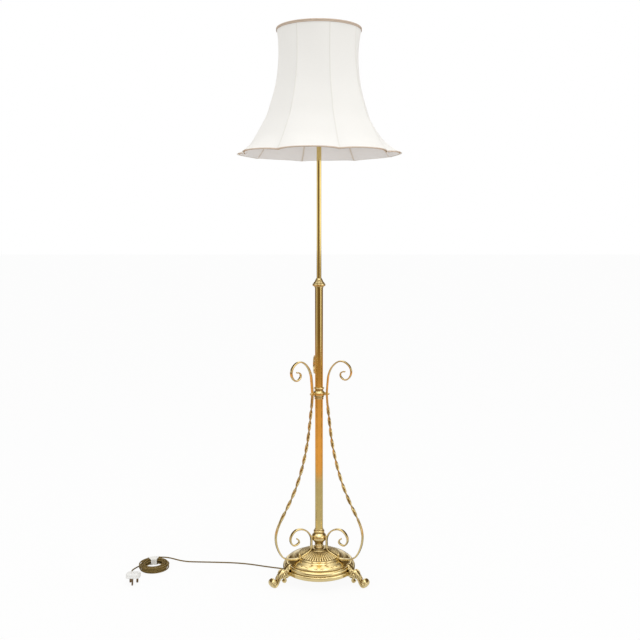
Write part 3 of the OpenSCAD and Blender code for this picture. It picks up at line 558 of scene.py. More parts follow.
outer = fine(rounded(DOME_LINE[:DOME_TOP + 1], 0.8, 2), 1.2)
dome = turned("dome", outer + DOME_LINE[DOME_TOP + 1:], FLUTES * 8, flute)
reach, up, angle = polar(dome)
# Tarnish and painted shade in the flute grooves and where bands meet, and darker on the top round the knop
groove = np.abs((angle * FLUTES / math.tau) % 1 * 2 - 1) ** 3 * (reach > FLUTE_IN) * (reach < FLUTE_OUT + 1)
ledges = creases(dome, 0, 1.1, 1.3, ((113.3, 46.2), (103.2, 58.9), (76.6, 74.8), (68.8, 78.6), (25, 98.4)))
darker_round_knop = 0.6 * np.clip((50 - reach) / 22, 0, 1) * (up > 80)
store(dome.data, "shaded_hollow", groove + ledges + darker_round_knop)
store(dome.data, "chased", (reach > FLUTE_IN) & (reach < FLUTE_OUT) & (up > FLUTE_Z))
spun_brass = brass("spun_brass", 0.14, 0.1, 26, 0.004, PALE_BRASS, (0.17, 0.115, 0.045, 1))
fit(dome, spun_brass, "stand", "base_dome")

# Inside the base: an iron casting for weight, a steel plate that closes it from below, and a threaded stem
# that draws them together with a washer and nut. The flex runs under the plate and up the stem.
worn_surface, given = group("worn_surface", {"Clean": (0.5, 0.5, 0.5, 1), "Marked": (0.3, 0.3, 0.3, 1),
                                             "Grain per m": 400, "Marks": 0.4, "Gloss": 0.4}, SURFACE)
place = add(worn_surface, "ShaderNodeTexCoord").outputs["Object"]
grain = noise(worn_surface, place, given["Grain per m"], 4.0)
patch = ramp(worn_surface, noise(worn_surface, place, 35.0, 5.0, 0.65), 0.42, 0.7)
marks = math_node(worn_surface, "MULTIPLY_ADD", grain, 0.6, patch)
marks = math_node(worn_surface, "MULTIPLY", marks, given["Marks"], clamp=True)
colour = mix_colour(worn_surface, marks, given["Clean"], given["Marked"])
rough = math_node(worn_surface, "MULTIPLY_ADD", marks, 0.25, given["Gloss"])
add(worn_surface, "NodeGroupOutput", {"Color": colour, "Roughness": rough, "Height": grain})


def plain(name, clean, marked, gloss, marks=0.3, grain=400, relief=0.1, depth=0.0003, **shader):
    """A moulded, cast or plated finish with small marks and a grain."""
    made, tree, base = finish(name, {key.replace("_", " "): value for key, value in shader.items()})
    look = use(tree, worn_surface, {"Clean": clean + (1,), "Marked": marked + (1,), "Grain per m": grain,
                                    "Marks": marks, "Gloss": gloss})
    wear(tree, base, look, relief, depth)
    return made


def dress(material, *nodes):
    """Gives its finish to a frame piece whose shape is right as it is."""
    for node in nodes:
        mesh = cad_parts[node].data
        mesh.materials.clear()
        mesh.materials.append(material)


cast_iron = plain("cast_iron", (0.10, 0.10, 0.10), (0.16, 0.10, 0.07), 0.55, 0.5, 350, 0.5, 0.0006,
                  Metallic=0.6)
plated_steel = plain("plated_steel", (0.56, 0.56, 0.55), (0.33, 0.30, 0.26), 0.28, 0.4, 600, 0.08,
                     Metallic=1.0)
dress(cast_iron, "base_weight")
dress(plated_steel, "base_plate", "stem_nipple", "stem_nut", "foot_bolts")

STEM_LEAD = [(-62, 38.3, 14), (-50.4, 35.1, 14), (-38.9, 31.9, 14), (-30.2, 29.5, 14), (-20, 24.5, 13.6),
             (-12.5, 17, 13.4), (-6.5, 9.5, 13.6), (-3, 4.5, 15), (-0.8, 1.2, 19), (0, 0, 24), (0, 0, 34),
             (0, 0, 60), (0, 0, 93)]
COLUMN_LEAD = [(0, 0, z) for z in np.linspace(93, 1418, 90)]
for name, line, node in (("base_lead", spline(STEM_LEAD, 4), "base_flex"),
                         ("column_lead", COLUMN_LEAD, "column_flex")):
    lead = tube(name, np.array(line) * MM, FLEX_D / 2 * MM, FLEX_SIDES)
    lead.data.materials.append(flex_braid)
    if node == "column_flex":
        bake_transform(lead)
    else:
        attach(lead, "stand")
    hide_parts(node)

# Gland: a black moulded bush in a clip under the plate, tapered and ribbed where the flex leaves it
dress(plain("black_plastic", (0.022, 0.021, 0.02), (0.05, 0.045, 0.04), 0.38, 0.3, 700, 0.15), "cord_gland")

# Feet: three brass castings that clasp the rim and are bolted up through the plate. Each is a scroll with a
# rolled toe, a round knuckle, a small curl under it, and a leaf with two buds over the lip of the base.
FOOT_ANGLES = {"foot_left": -60, "foot_right": 60, "foot_rear": 180}
KNUCKLE_AT = (134, 38)
TOE_AT = (169, 13.5)
# Points are (reach, height, half width, half thickness) along the middle of each strap of metal
INSTEP = [(98, 30, 10, 3.4), (108, 30.5, 10.5, 4), (118, 33, 11.5, 7.5), (127, 37, 12, 11.5),
          (135, 37.5, 12, 12.5), (143, 34, 10.5, 10.5), (148.5, 27, 8.8, 8), (152.5, 19, 8.8, 6.6),
          (157.5, 11, 11.5, 6), (165, 6.2, 13.8, 6), (173.5, 8.6, 14.2, 5.8), (178, 15, 14, 5),
          (176, 22, 13.2, 4.2), (169.5, 25, 12.6, 3.8), (164.5, 22, 12, 3.4)]
LEAF = [(128, 46, 10, 5), (121.5, 52, 10.5, 5.6), (115.8, 57, 9.5, 5), (111, 61.6, 7, 3.8),
        (107.8, 65, 3.5, 2.4)]
CURL = [(136, 30, 9.5, 5), (130.5, 23, 9, 4.4), (126.5, 17, 8.5, 3.8), (128.5, 11.5, 8.5, 3.2),
        (133.5, 11.5, 8, 2.8), (134.5, 16, 7.5, 2.4)]


def strap_skin(stations, sides=20, n=6):
    """Skin of a strap with a full rounded section that follows stations in the plane of the foot."""
    line = spline(stations, n)
    ahead = unit(np.gradient(line[:, :2], axis=0))
    points = []
    for (reach, z, half, thick), (dr, dz) in zip(line, ahead):
        for k in range(sides):
            a = math.tau * k / sides
            side = math.copysign(abs(math.cos(a)) ** 0.75, math.cos(a)) * half
            out = math.copysign(abs(math.sin(a)) ** 0.9, math.sin(a)) * thick
            points.append((side, -(reach - dz * out), z + dr * out))
    return points, skin(len(line), sides)


def ball_skin(centre, radii, rings=14, sides=20):
    points, rows = [], []
    for i in range(rings + 1):
        n = 1 if i in (0, rings) else sides
        rows.append(range(len(points), len(points) + n))
        b = math.pi * i / rings - math.pi / 2
        for k in range(n):
            a = math.tau * k / n
            way = (math.cos(b) * math.cos(a), math.cos(b) * math.sin(a), math.sin(b))
            points.append([c + r * w for c, r, w in zip(centre, radii, way)])
    return points, lathe_faces(rows, sides)


def wire_skin(path, radius, sides=8):
    """Skin of a thin raised line along points, round at both ends."""
    path = np.array(path, float)
    points = []
    for i, (c, t) in enumerate(zip(path, unit(np.gradient(path, axis=0)))):
        side = unit(np.cross(t, (1.0, 0, 0)))
        r = radius * (0.5 if i in (0, len(path) - 1) else 1)
        points += list(c + r * circle(side, np.cross(side, t), sides))
    return points, skin(len(path), sides)


def scroll_line(centre, start, end, r0, r1, side, n=30):
    """A flat spiral on the side of a scroll, from radius r0 to r1 about a centre in the foot's plane."""
    out = []
    for k in range(n + 1):
        t = k / n
        a, r = math.radians(start + (end - start) * t), r0 + (r1 - r0) * t
        out.append((side, -(centre[0] + r * math.cos(a)), centre[1] + r * math.sin(a)))
    return out


def cast_foot():
    """The skins of a foot's swells, leaves, buds and raised lines, with the foot toward the front."""
    parts = [strap_skin(INSTEP), strap_skin(LEAF), strap_skin(CURL),
             ball_skin((0, -KNUCKLE_AT[0], KNUCKLE_AT[1] + 0.5), (12.8, 13.4, 13.4)),
             ball_skin((0, -TOE_AT[0], TOE_AT[1]), (13.6, 9.6, 9.6)),
             ball_skin((0, -121.5, 37), (10.5, 8, 12)), ball_skin((0, -129, 14.5), (8.6, 4.6, 4.6)),
             ball_skin((0, -120.5, 25.5), (8.8, 4.4, 4.4))]
    for s in (-1, 1):
        parts += [ball_skin((s * 11.4, -KNUCKLE_AT[0], KNUCKLE_AT[1]), (3.8, 4, 4)),
                  ball_skin((s * 9.2, -116.4, 55.6), (5.4, 5.4, 5.4)),
                  ball_skin((s * 10.2, -121, 47), (3.4, 4.4, 4.4)),
                  ball_skin((s * 12.2, -TOE_AT[0], TOE_AT[1]), (3.2, 4, 4)),
                  wire_skin(scroll_line(KNUCKLE_AT, -60, 330, 12.4, 6.4, s * 11.6), 2.1),
                  wire_skin(scroll_line(TOE_AT, -150, 150, 10.2, 6.2, s * 12.4), 1.8),
                  wire_skin([(s * 9.5, -146, 33), (s * 10, -151, 25.5), (s * 10.6, -156, 17.5),
                             (s * 11.6, -162, 10)], 1.6)]
    for s in (-5, 0, 5):
        parts += [wire_skin([(s * 0.5, -109.8, 65.6), (s * 0.9, -114.6, 62.4), (s * 1.1, -120, 57.4),
                             (s * 1.1, -125.5, 52.4), (s, -130.5, 51)], 1.5),
                  wire_skin([(s * 1.4, -145, 43.6), (s * 1.5, -151, 36), (s * 1.6, -156.4, 27),
                             (s * 1.7, -160, 20)], 1.2)]
    return parts


def merged(parts):
    """Several skins as one list of points and one of faces."""
    points, faces = [], []
    for more_points, more_faces in parts:
        faces += [tuple(v + len(points) for v in face) for face in more_faces]
        points += [tuple(p) for p in more_points]
    return points, faces


FOOT_VOXEL = 0.75
RIM_CLEAR = 0.15
RIM_TOP = 46
points, faces = merged(cast_foot())
blank = new_mesh("foot_blank", np.array(points) * MM, faces)
remesh = blank.modifiers.new("cast", "REMESH")
remesh.mode = "VOXEL"
remesh.voxel_size = FOOT_VOXEL * MM
soften = blank.modifiers.new("fettled", "SMOOTH")
soften.factor, soften.iterations = 0.5, 6
cast = bpy.data.meshes.new_from_object(blank.evaluated_get(bpy.context.evaluated_depsgraph_get()))
bpy.data.objects.remove(blank)
at = np.array([v.co for v in cast.vertices])
at[:, 2] = np.maximum(at[:, 2], 0)
reach = np.hypot(at[:, 0], at[:, 1])
rim = (RIM_R + RIM_CLEAR) * MM
under = (reach < rim) & (at[:, 2] > RIM_Z * MM) & (at[:, 2] < RIM_TOP * MM)
at[:, :2] *= np.where(under, rim / np.maximum(reach, 1e-6), 1)[:, None]
cast.vertices.foreach_set("co", at.ravel())
cast.polygons.foreach_set("use_smooth", [True] * len(cast.polygons))
cast.update()
normals = np.array([v.normal for v in cast.vertices])
edges = np.array([e.vertices for e in cast.edges])
away = at[edges[:, 1]] - at[edges[:, 0]]
away /= np.linalg.norm(away, axis=1)[:, None] + 1e-12
bend = ((normals[edges[:, 1]] - normals[edges[:, 0]]) * away).sum(1)
ends, far_ends = edges.ravel(), edges[:, ::-1].ravel()
shared = np.maximum(np.bincount(ends, minlength=len(at)), 1)
cup = np.bincount(ends, np.repeat(-bend, 2), len(at))
for _ in range(6):
    cup = 0.5 * cup + 0.5 * np.bincount(ends, cup[far_ends], len(at)) / shared
# Concave places on the casting get a darker share: tarnish and painted shade in its recesses
store(cast, "shaded_hollow", cup * 1.6)
cast.materials.append(brass("cast_brass", 0.35, 0.13, 60, 0.05, PALE_BRASS, (0.2, 0.135, 0.055, 1)))
for node, turn in FOOT_ANGLES.items():
    foot = bpy.data.objects.new("scroll_" + node, cast)
    bpy.context.scene.collection.objects.link(foot)
    foot.rotation_euler = (0, 0, math.radians(turn))
    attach(foot, "stand")
    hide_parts(node)


def spun(name, outline, z, corner, body, node, shaded_creases, spread, sides=96, swell=None):
    """A piece of turned brass drawn from its own foot up, with tarnish and painted shade in its creases."""
    piece = turned(name, at_height(rounded(outline, corner, 2), z), sides, swell)
    store(piece.data, "shaded_hollow", creases(piece, z, *spread, shaded_creases))
    fit(piece, turned_brass, body, node)
    return piece


# Knop: solid turned brass that screws down on the dome and takes the tube on a spigot
KNOP = [(6, 0), (15.9, 0), (16.6, 0.8), (16.6, 3), (15.4, 4.2), (14.3, 6.4), (13.8, 10), (13.9, 14),
        (14.8, 17.6), (16.3, 20.2), (17.4, 21.4), (17.4, 22.4), (18.4, 23), (20.6, 24.6), (22.6, 26.6),
        (24, 29.4), (24.5, 32.4), (24.5, 35.6), (24, 39), (22.8, 42.4), (20.8, 45.2), (18.2, 47.6),
        (16.6, 49), (15.9, 50.4), (16.1, 51.6), (17.2, 52.4), (17.9, 53.8), (18, 55.6), (17.6, 57.4),
        (16.6, 58.6), (15.2, 59.4), (14.6, 60.6), (14.5, 62.6), (14.1, 64.1), (13.4, 64.5), (12.72, 64.5)]
turned_brass = brass("turned_brass", 0.16, 0.15, 40, 0.006, PALE_BRASS)
spun("knop_turned", KNOP, DOME_Z, 0.5, "stand", "knop",
     ((17.4, 22.2), (15.9, 50.4), (14.8, 60), (15.2, 4.4), (16.2, 0.2)), (1.0, 1.2))

# Tubes: drawn brass, the fixed one an inch across, the sliding one inside it
TUBE_R, TUBE_IN, TUBE_LOW, TUBE_TOP = 12.7, 11.5, 165.5, 958
INNER_R, INNER_IN, INNER_LOW, INNER_TOP = 7.5, 6.5, 857.5, 1405
TUBE_EDGE = 0.3
drawn_brass = brass("drawn_brass", 0.2, 0.06, 12, 0.003)


def drawn_tube(name, r, bore, low, top, body, node):
    rows = [(bore, low), (bore, top), (r - TUBE_EDGE, top), (r, top - TUBE_EDGE), (r, low + TUBE_EDGE),
            (r - TUBE_EDGE, low), (bore, low)]
    fit(turned(name, fine(rows, 60)[::-1], 96), drawn_brass, body, node)


drawn_tube("fixed_tube", TUBE_R, TUBE_IN, TUBE_LOW, TUBE_TOP, "stand", "outer_tube")
drawn_tube("sliding_tube", INNER_R, INNER_IN, INNER_LOW, INNER_TOP, "head", "inner_tube")

# Arm collar: turned brass ring that slides on the tube, with three lugs that the arms are screwed to
COLLAR_Z = 617
ARM_TURN = 8
LUG_REACH = 24.6
COLLAR = [(12.8, -19.5), (14.2, -19.5), (14.7, -19), (14.7, -16.2), (14.2, -15.4), (14.2, -13.2),
          (15.7, -12), (15.9, -10.8), (14.7, -10), (16.4, -8.6), (18.1, -7.4), (18.8, -5.6), (18.9, 1.6),
          (18.3, 3.4), (16.8, 5.2), (14.2, 7.6), (13.7, 10.4), (13.8, 13.2), (15.6, 14.6), (16.6, 15.6),
          (16.8, 17), (16.4, 18.6), (15.4, 19.5), (12.8, 19.5), (12.8, -19.5)]
collar = spun("collar_turned", COLLAR, COLLAR_Z, 0.4, "stand", "arm_collar",
              ((14.2, -14.4), (14.7, -9.8), (13.7, 10.4), (14.6, 14.4)), (0.9, 1.1))


def around(angle, points):
    """Points turned about the column from the front, where +x is to the right, by an angle in degrees."""
    a = math.radians(angle)
    points = np.array(points, float)
    return np.stack([points[:, 0] * math.cos(a) - points[:, 1] * math.sin(a),
                     points[:, 0] * math.sin(a) + points[:, 1] * math.cos(a), points[:, 2]], 1)


def spindle(name, outline, origin, toward, turn, sides=32):
    """A small turned piece whose axis points toward a direction in the plane of one arm."""
    axis = unit(np.array(toward, float))
    side = np.array([1.0, 0, 0])
    up = np.cross(axis, side)
    points, rows = [], []
    for r, h in outline:
        n = 1 if r < 1e-6 else sides
        rows.append(range(len(points), len(points) + n))
        points += list(origin + axis * h + r * circle(side, up, n))
    return new_mesh(name, around(turn, points) * MM, lathe_faces(rows, sides), sharp_over=40)


def joined(name, pieces):
    meshes = [piece.data for piece in pieces]
    points, faces = merged([([v.co for v in mesh.vertices], [p.vertices for p in mesh.polygons])
                            for mesh in meshes])
    for piece in pieces:
        bpy.data.objects.remove(piece)
    return new_mesh(name, points, faces, sharp_over=40)


LUG = [(0, 10), (4.9, 10), (5, 10.6), (4.2, 14), (4.1, 18), (4.9, 21.6), (5.2, 22.6), (5.2, 24.2),
       (4.8, LUG_REACH), (0, LUG_REACH)]
lugs = joined("collar_lugs", [spindle("lug", LUG, (0, 0, COLLAR_Z), (0, -1, 0), turn + ARM_TURN)
                              for turn in FOOT_ANGLES.values()])
lugs.data.materials.append(turned_brass)
lugs.parent = collar

# Arms: three flat brass bars, wrought into a scroll at each end and twisted like barley sugar between. They
# are laid down the dome under a ball-headed stud, and held to the collar by a ball-headed screw.
ARM_W, ARM_T = 10.4, 4.5
HALF_TWISTS = 10
TWIST_LOW, TWIST_HIGH = 219, 575
GAP = 0.3
LOW_VOLUTE = [(84, 45), (76.5, 38), (75, 30), (84, 24), (96, 24), (105, 36), (106, 50), (98, 64),
              (85, 72.6), (67, 73), (49.4, 65), (37, 52), (29.6, 36), (29, 18), (29.4, 8), (32, 0)]
STRAP = [40, 50, 58, 66, 74]
SWEEP_UP = [(86, -24), (100, -21.8), (112, -19.6), (124, -15), (136, -6), (148, 13), (157, 38), (160, 62),
            (156.5, 84), (147, 108)]
TWIST_RUN = [(133, 133), (107, 178), (85, 224), (68, 271), (54.7, 319), (44.5, 367), (37.7, 415)]
HIGH_VOLUTE = [(30, 40), (33, 62), (42, 84), (56, 100), (70, 108), (84, 108), (97, 101), (106.5, 90),
               (110, 75), (106, 61), (96, 51), (84, 51), (75, 59), (74, 69), (81, 75), (90, 76)]
COLLAR_ARM_R = LUG_REACH + ARM_T / 2 + 2 * GAP
# The dome's shoulder, where the arms lie on it, as shares of the rim's radius and of the dome's height
SHOULDER = [(0.219, 0.94), (0.321, 0.856), (0.439, 0.774), (0.557, 0.69), (0.658, 0.603), (0.743, 0.54),
            (0.81, 0.48), (0.885, 0.37)]
SHOULDER_SLOPE = math.radians(23)


def shoulder_z(r):
    reach, up = np.array(SHOULDER).T
    return float(np.interp(r, reach * RIM_R, RIM_Z + up * (DOME_Z - RIM_Z)))


strap = [(r, shoulder_z(r) + ARM_T / 2 / math.cos(SHOULDER_SLOPE) + GAP) for r in STRAP]
low = at_height(LOW_VOLUTE, DOME_Z)
up = at_height(SWEEP_UP, DOME_Z)
twist = at_height(TWIST_RUN, DOME_Z)
top = [(COLLAR_ARM_R + 1.5, COLLAR_Z - 30), (COLLAR_ARM_R, COLLAR_Z - 8), (COLLAR_ARM_R, COLLAR_Z + 8)]
top += at_height(HIGH_VOLUTE, COLLAR_Z)
arm_line = np.concatenate([spline(low + strap + up + [twist[0]], 6)[:-1], spline(twist + [top[0]], 24)[:-1],
                           spline(top, 6)])
# Points of the bar's section, across its width and through its thickness, as shares of the half sizes
SECTION = [(1, -0.45), (1, 0.45), (0.93, 0.86), (0.72, 1), (0, 1.06), (-0.72, 1), (-0.93, 0.86), (-1, 0.45),
           (-1, -0.45), (-0.93, -0.86), (-0.72, -1), (0, -1.06), (0.72, -1), (0.93, -0.86)]
PAST_STRAP = (len(LOW_VOLUTE) - 3) * 6 + 18
NIB = 34
NIB_TIP = (0.55, 0.86, 1.0)
TURN_LOW, TURN_HIGH = DOME_Z + 40, COLLAR_Z - 30
flat = np.array([1.0, 0, 0])
count = len(arm_line)
ahead = unit(np.gradient(arm_line, axis=0))
points, shaded_hollow = [], []
for i, ((r, z), (dr, dz)) in enumerate(zip(arm_line, ahead)):
    share, turn = np.clip([(z - TWIST_LOW) / (TWIST_HIGH - TWIST_LOW),
                           (z - TURN_LOW) / (TURN_HIGH - TURN_LOW)], 0, 1) * (i > PAST_STRAP)
    from_end = min(i, count - 1 - i)
    wide = ARM_W / 2 * min(1, 0.62 + 0.38 * from_end / NIB)
    thick = ARM_T / 2 * min(1, 0.85 + 0.15 * from_end / NIB)
    if from_end < len(NIB_TIP):
        wide, thick = wide * NIB_TIP[from_end], thick * NIB_TIP[from_end] * 1.25
    a = math.radians(-180 * HALF_TWISTS * share)
    out = np.array([0, dz, dr])
    through, across = math.cos(a) * out + math.sin(a) * flat, -math.sin(a) * out + math.cos(a) * flat
    ring = [np.array([0, -r, z]) + through * q * thick + across * p * wide for p, q in SECTION]
    points += list(around(ARM_TURN * turn, ring))
    # Along the twist the middle of the bar gets a darker share: tarnish and painted shade in the twist's
    # recess
    twisted = 0.8 if 0.01 < share < 0.99 else 0
    shaded_hollow += [twisted * (1 - min(1, abs(p) / 0.9)) for p, q in SECTION]
faces = skin(count, len(SECTION))
wrought_brass = brass("wrought_brass", 0.42, 0.13, 45, 0.04, (0.76, 0.61, 0.30, 1))
for node, turn in (("arm_left", -60), ("arm_right", 60), ("arm_rear", 180)):
    arm = new_mesh("scroll_" + node, around(turn, points) * MM, faces)
    store(arm.data, "shaded_hollow", shaded_hollow)
    fit(arm, wrought_brass, "stand", node)

# Ball-headed studs and screws: turned brass, with a small collar that presses on the bar
STUD_REACH = 73
stud_z = shoulder_z(STUD_REACH)
STUD = [(0, -12), (1.9, -12), (2, -11.6), (2, 3.6), (4.2, 4.6), (4.4, 5.2), (4.2, 6), (2.6, 6.6),
        (2.3, 7.4), (2.6, 8.6), (3.4, 9.8), (3.7, 11.2), (3.75, 12.6), (3.5, 14), (2.8, 15.2), (1.6, 16),
        (0, 16.2)]
SCREW = [(0, LUG_REACH - 7), (1.9, LUG_REACH - 7), (2, LUG_REACH - 6.6), (2, 28.8), (3.9, 28.9),
         (4.1, 29.3), (3.9, 29.8), (2.7, 30.1), (2.7, 30.4), (3.3, 31.4), (3.5, 32.6), (3.4, 34),
         (2.7, 35.2), (1.5, 35.9), (0, 36.1)]
studs = joined("ball_studs", [spindle("stud", STUD, (0, -STUD_REACH, stud_z), (0, 0, 1), turn, 28)
                              for turn in FOOT_ANGLES.values()])
screws = joined("ball_screws", [spindle("screw", SCREW, (0, 0, COLLAR_Z), (0, -1, 0), turn + ARM_TURN, 28)
                                for turn in FOOT_ANGLES.values()])
fit(studs, turned_brass, "stand", "arm_studs")
fit(screws, turned_brass, "stand", "collar_screws")

# Lock collar: turned brass nut with a wavy grip round its widest band. It screws down over the split collet
# and pinches the sliding tube.
LOCK_Z = 960.5
GRIP_WAVES = 16
LOCK = [(9.9, 0.4), (10.3, 0), (14.6, 0), (15.4, 0.4), (15.9, 1.4), (17.4, 2), (19.3, 2.8), (20.3, 3.8),
        (20.7, 5.4), (20.7, 8), (20.2, 9.6), (18.9, 10.8), (17.6, 11.2), (17.2, 11.8), (17.3, 12.6),
        (16.9, 13.8), (15.7, 15.2), (14.1, 16.6), (12.9, 18), (12.2, 19.2), (12.4, 19.8), (12.4, 20.8),
        (11.6, 21.8), (10.8, 23.4), (10.1, 25.2), (9.4, 26.6), (8.7, 27.4), (8, 27.5), (7.8, 27),
        (7.8, 16.8), (9.9, 16.4), (9.9, 0.4)]


def grip(r, z, a):
    up = z - LOCK_Z
    if r < 17 or not 2 < up < 11.2:
        return 0, 0
    return -0.55 * (0.5 - 0.5 * math.cos(GRIP_WAVES * a)) * math.sin(math.pi * (up - 2) / 9.2), 0


spun("lock_turned", LOCK, LOCK_Z, 0.35, "lock", "lock_collar", ((17.3, 11.6), (12.3, 19.2), (15.8, 1.6)),
     (0.9, 0.9), GRIP_WAVES * 8, grip)

# Slide: a nylon bush on the sliding tube and a split brass collet under the lock collar that grips the tube
dress(turned_brass, "collet")
dress(plain("nylon", (0.82, 0.80, 0.74), (0.62, 0.58, 0.50), 0.42, 0.2, 500, 0.05), "guide_bush")

# Lampholder: turned brass cap and skirt on the sliding tube, with a brown moulded insulator, two sprung
# plungers and a push bar switch. Two threaded rings clamp the wire carrier on the skirt.
CARRIER_Z = 1437
RING_R, RING_BORE, RING_H = 19.5, 14.3, 4.9
RING_LOBES = 36
dress(turned_brass, "holder_cap", "holder_skirt", "holder_contacts", "push_bar")
bakelite = plain("bakelite", (0.075, 0.032, 0.016), (0.16, 0.08, 0.04), 0.25, 0.35, 220, 0.05)
dress(bakelite, "holder_insulator")


def lobes(r, z, a):
    """Shallow finger lobes round the edge of a ring."""
    return (0.35 * math.cos(RING_LOBES * a) if r > RING_R - 0.8 else 0), 0


def clamp_ring(low):
    high, edge = low + RING_H, RING_R - 0.35
    rows = [(RING_BORE, low), (edge - 0.8, low), (edge, low + 0.8), (edge, high - 0.8), (edge - 0.8, high),
            (RING_BORE + 0.5, high), (RING_BORE, high - 0.5), (RING_BORE, low)]
    return turned("ring", rows, RING_LOBES * 6, lobes)


rings = joined("clamp_rings", [clamp_ring(CARRIER_Z - 5), clamp_ring(CARRIER_Z + 1.6)])
fit(rings, bakelite, "head", "shade_rings")

# Bulb: opal glass on a bayonet cap
BULB_Z = 1436.4
BULB_CAP = [(0, 0), (8.6, 0), (10.2, 0.6), (11, 1.8), (11, 22.4), (10.6, 23.4), (10.8, 24.4), (11, 25),
            (0, 25)]
BULB_R, BULB_LEN = 30, 105
BULB_NECK = [(10.4, 25.1), (12.6, 27.5), (13.2, 31), (14.4, 34.4), (17.4, 40), (21.4, 46.6), (25.2, 53.4)]
BULB_BALL = [((BULB_R - 0.02) * math.cos(a), BULB_LEN - BULB_R + BULB_R * math.sin(a))
             for a in np.radians(range(-24, 90, 6))]
cap = turned("bayonet_cap", at_height(rounded(BULB_CAP, 0.3, 2), BULB_Z), 64)
bulb_metal = plain("bulb_metal", (0.72, 0.71, 0.69), (0.45, 0.43, 0.40), 0.3, 0.3, 500, 0.05, Metallic=1.0)
fit(cap, bulb_metal, "head", "bulb_cap")
glass = turned("opal_bulb", at_height(BULB_NECK + BULB_BALL + [(0, BULB_LEN)], BULB_Z), 96)
opal = plain("opal_glass", (0.84, 0.84, 0.82), (0.79, 0.79, 0.76), 0.12, 0.2, 60, 0.0, Coat_Weight=0.5)
fit(glass, opal, "head", "bulb_glass")

# Carrier: a plate on the lampholder with three brass wires round the bulb and a ring that the shade sits on
dress(brass("brass_wire", 0.45, 0.2, 70), "shade_carrier")

# Shade frame: brassed steel wire. A fitter ring hangs by four wires from the top ring, and eight ribs run
# down to a lobed bottom ring that rises between the ribs.
SHADE_Z, SHADE_H, SHADE_R = 1370, 380, 238.5
PANELS = 8
FIRST_RIB = 14.5 - 90
RIB_LINE = [(0, 1), (0.055, 0.93), (0.118, 0.865), (0.2, 0.788), (0.297, 0.703), (0.408, 0.639),
            (0.526, 0.583), (0.734, 0.535), (0.92, 0.536), (1, 0.5451)]
TOP_SHARE = RIB_LINE[-1][1]
BOW = [(0, -1), (0.055, -0.4), (0.118, 0.3), (0.2, 0.7), (0.3, 0.9), (0.75, 0.9), (0.9, 0.4), (1, 0)]
LOBE_RISE = 4.5
LOBE_HIGH = 0.11
COVER_T = 1.2
SEAM_LIFT = 0.45
WIRE_R = 1.4
RIB_IN = 4.21
LINING_IN = 7.22
LINING_T = 0.9
LINING_LOW = 0.001
LINING_HIGH = 0.94


def eased(table, at):
    """A smooth line through (share, value) pairs."""
    t, y = np.array(table, float).T
    cut, gap = np.diff(y) / np.diff(t), np.diff(t)
    middle = (cut[:-1] * gap[1:] + cut[1:] * gap[:-1]) / (gap[1:] + gap[:-1])
    slope = np.concatenate([cut[:1], middle, cut[-1:]])
    i = np.clip(np.searchsorted(t, at, side="right") - 1, 0, len(t) - 2)
    s = (at - t[i]) / gap[i]
    return (y[i] * (1 + 2 * s) * (1 - s) ** 2 + slope[i] * gap[i] * s * (1 - s) ** 2
            + y[i + 1] * s * s * (3 - 2 * s) + slope[i + 1] * gap[i] * s * s * (s - 1))


def shade_point(share, across, inward=0.0):
    """Where the shade's wall is: share of the height, and across in panels from the first rib."""
    share, across = np.broadcast_arrays(np.asarray(share, float), np.asarray(across, float))
    half = math.pi / PANELS
    off = (across % 1 * 2 - 1) * half
    r = SHADE_R * eased(RIB_LINE, share) * (math.cos(half) / np.cos(off)) ** eased(BOW, share) - inward
    rise = LOBE_RISE * (1 - np.abs(off / half) ** 3) * np.clip(1 - share / LOBE_HIGH, 0, 1) ** 2
    a = math.radians(FIRST_RIB) + across * 2 * half
    return np.stack([r * np.cos(a), r * np.sin(a), SHADE_Z + share * SHADE_H + rise], -1)


frame_wire = plain("frame_wire", (0.62, 0.50, 0.30), (0.36, 0.25, 0.14), 0.3, 0.4, 700, 0.08, Metallic=1.0)
dress(frame_wire, "shade_fitter")
rib_shares = np.linspace(0.016, 0.985, 44)
ribs = joined("frame_ribs", [tube("rib", shade_point(rib_shares, k, RIB_IN) * MM, WIRE_R * MM, 10)
                             for k in range(PANELS)])
edge_line = shade_point(0, np.arange(PANELS * 24) / 24, RIB_IN + 2) + (0, 0, WIRE_R)
edge_wire = tube("edge_wire", edge_line * MM, WIRE_R * MM, 10, closed=True)
for piece, node in ((ribs, "shade_ribs"), (edge_wire, "shade_bottom_ring")):
    piece.data.polygons.foreach_set("use_smooth", [True] * len(piece.data.polygons))
    fit(piece, frame_wire, "shade", node)

# Cover and lining: eight gores of cream silky cloth sewn at the ribs and stretched over the frame, and a
# pale pinkish lining inside it with tan tape over each seam.
weave, given = group("weave", {"Threads per m": 2200, "Slub": 0.3}, ["Height", "Slub"])
place = add(weave, "ShaderNodeTexCoord").outputs["UV"]
count = times(weave, given["Threads per m"], math.pi)
threads = add(weave, "ShaderNodeSeparateXYZ", {0: place}).outputs
height, over = crossed(weave, times(weave, threads[0], count), times(weave, threads[1], count), 0.2)
slub = noise(weave, stretched(weave, place, (60, 1400, 1)), 1.0, 3.0)
slub = times(weave, ramp(weave, slub, 0.5, 0.75), given["Slub"])
add(weave, "NodeGroupOutput", {"Height": math_node(weave, "ADD", height, slub), "Slub": slub})


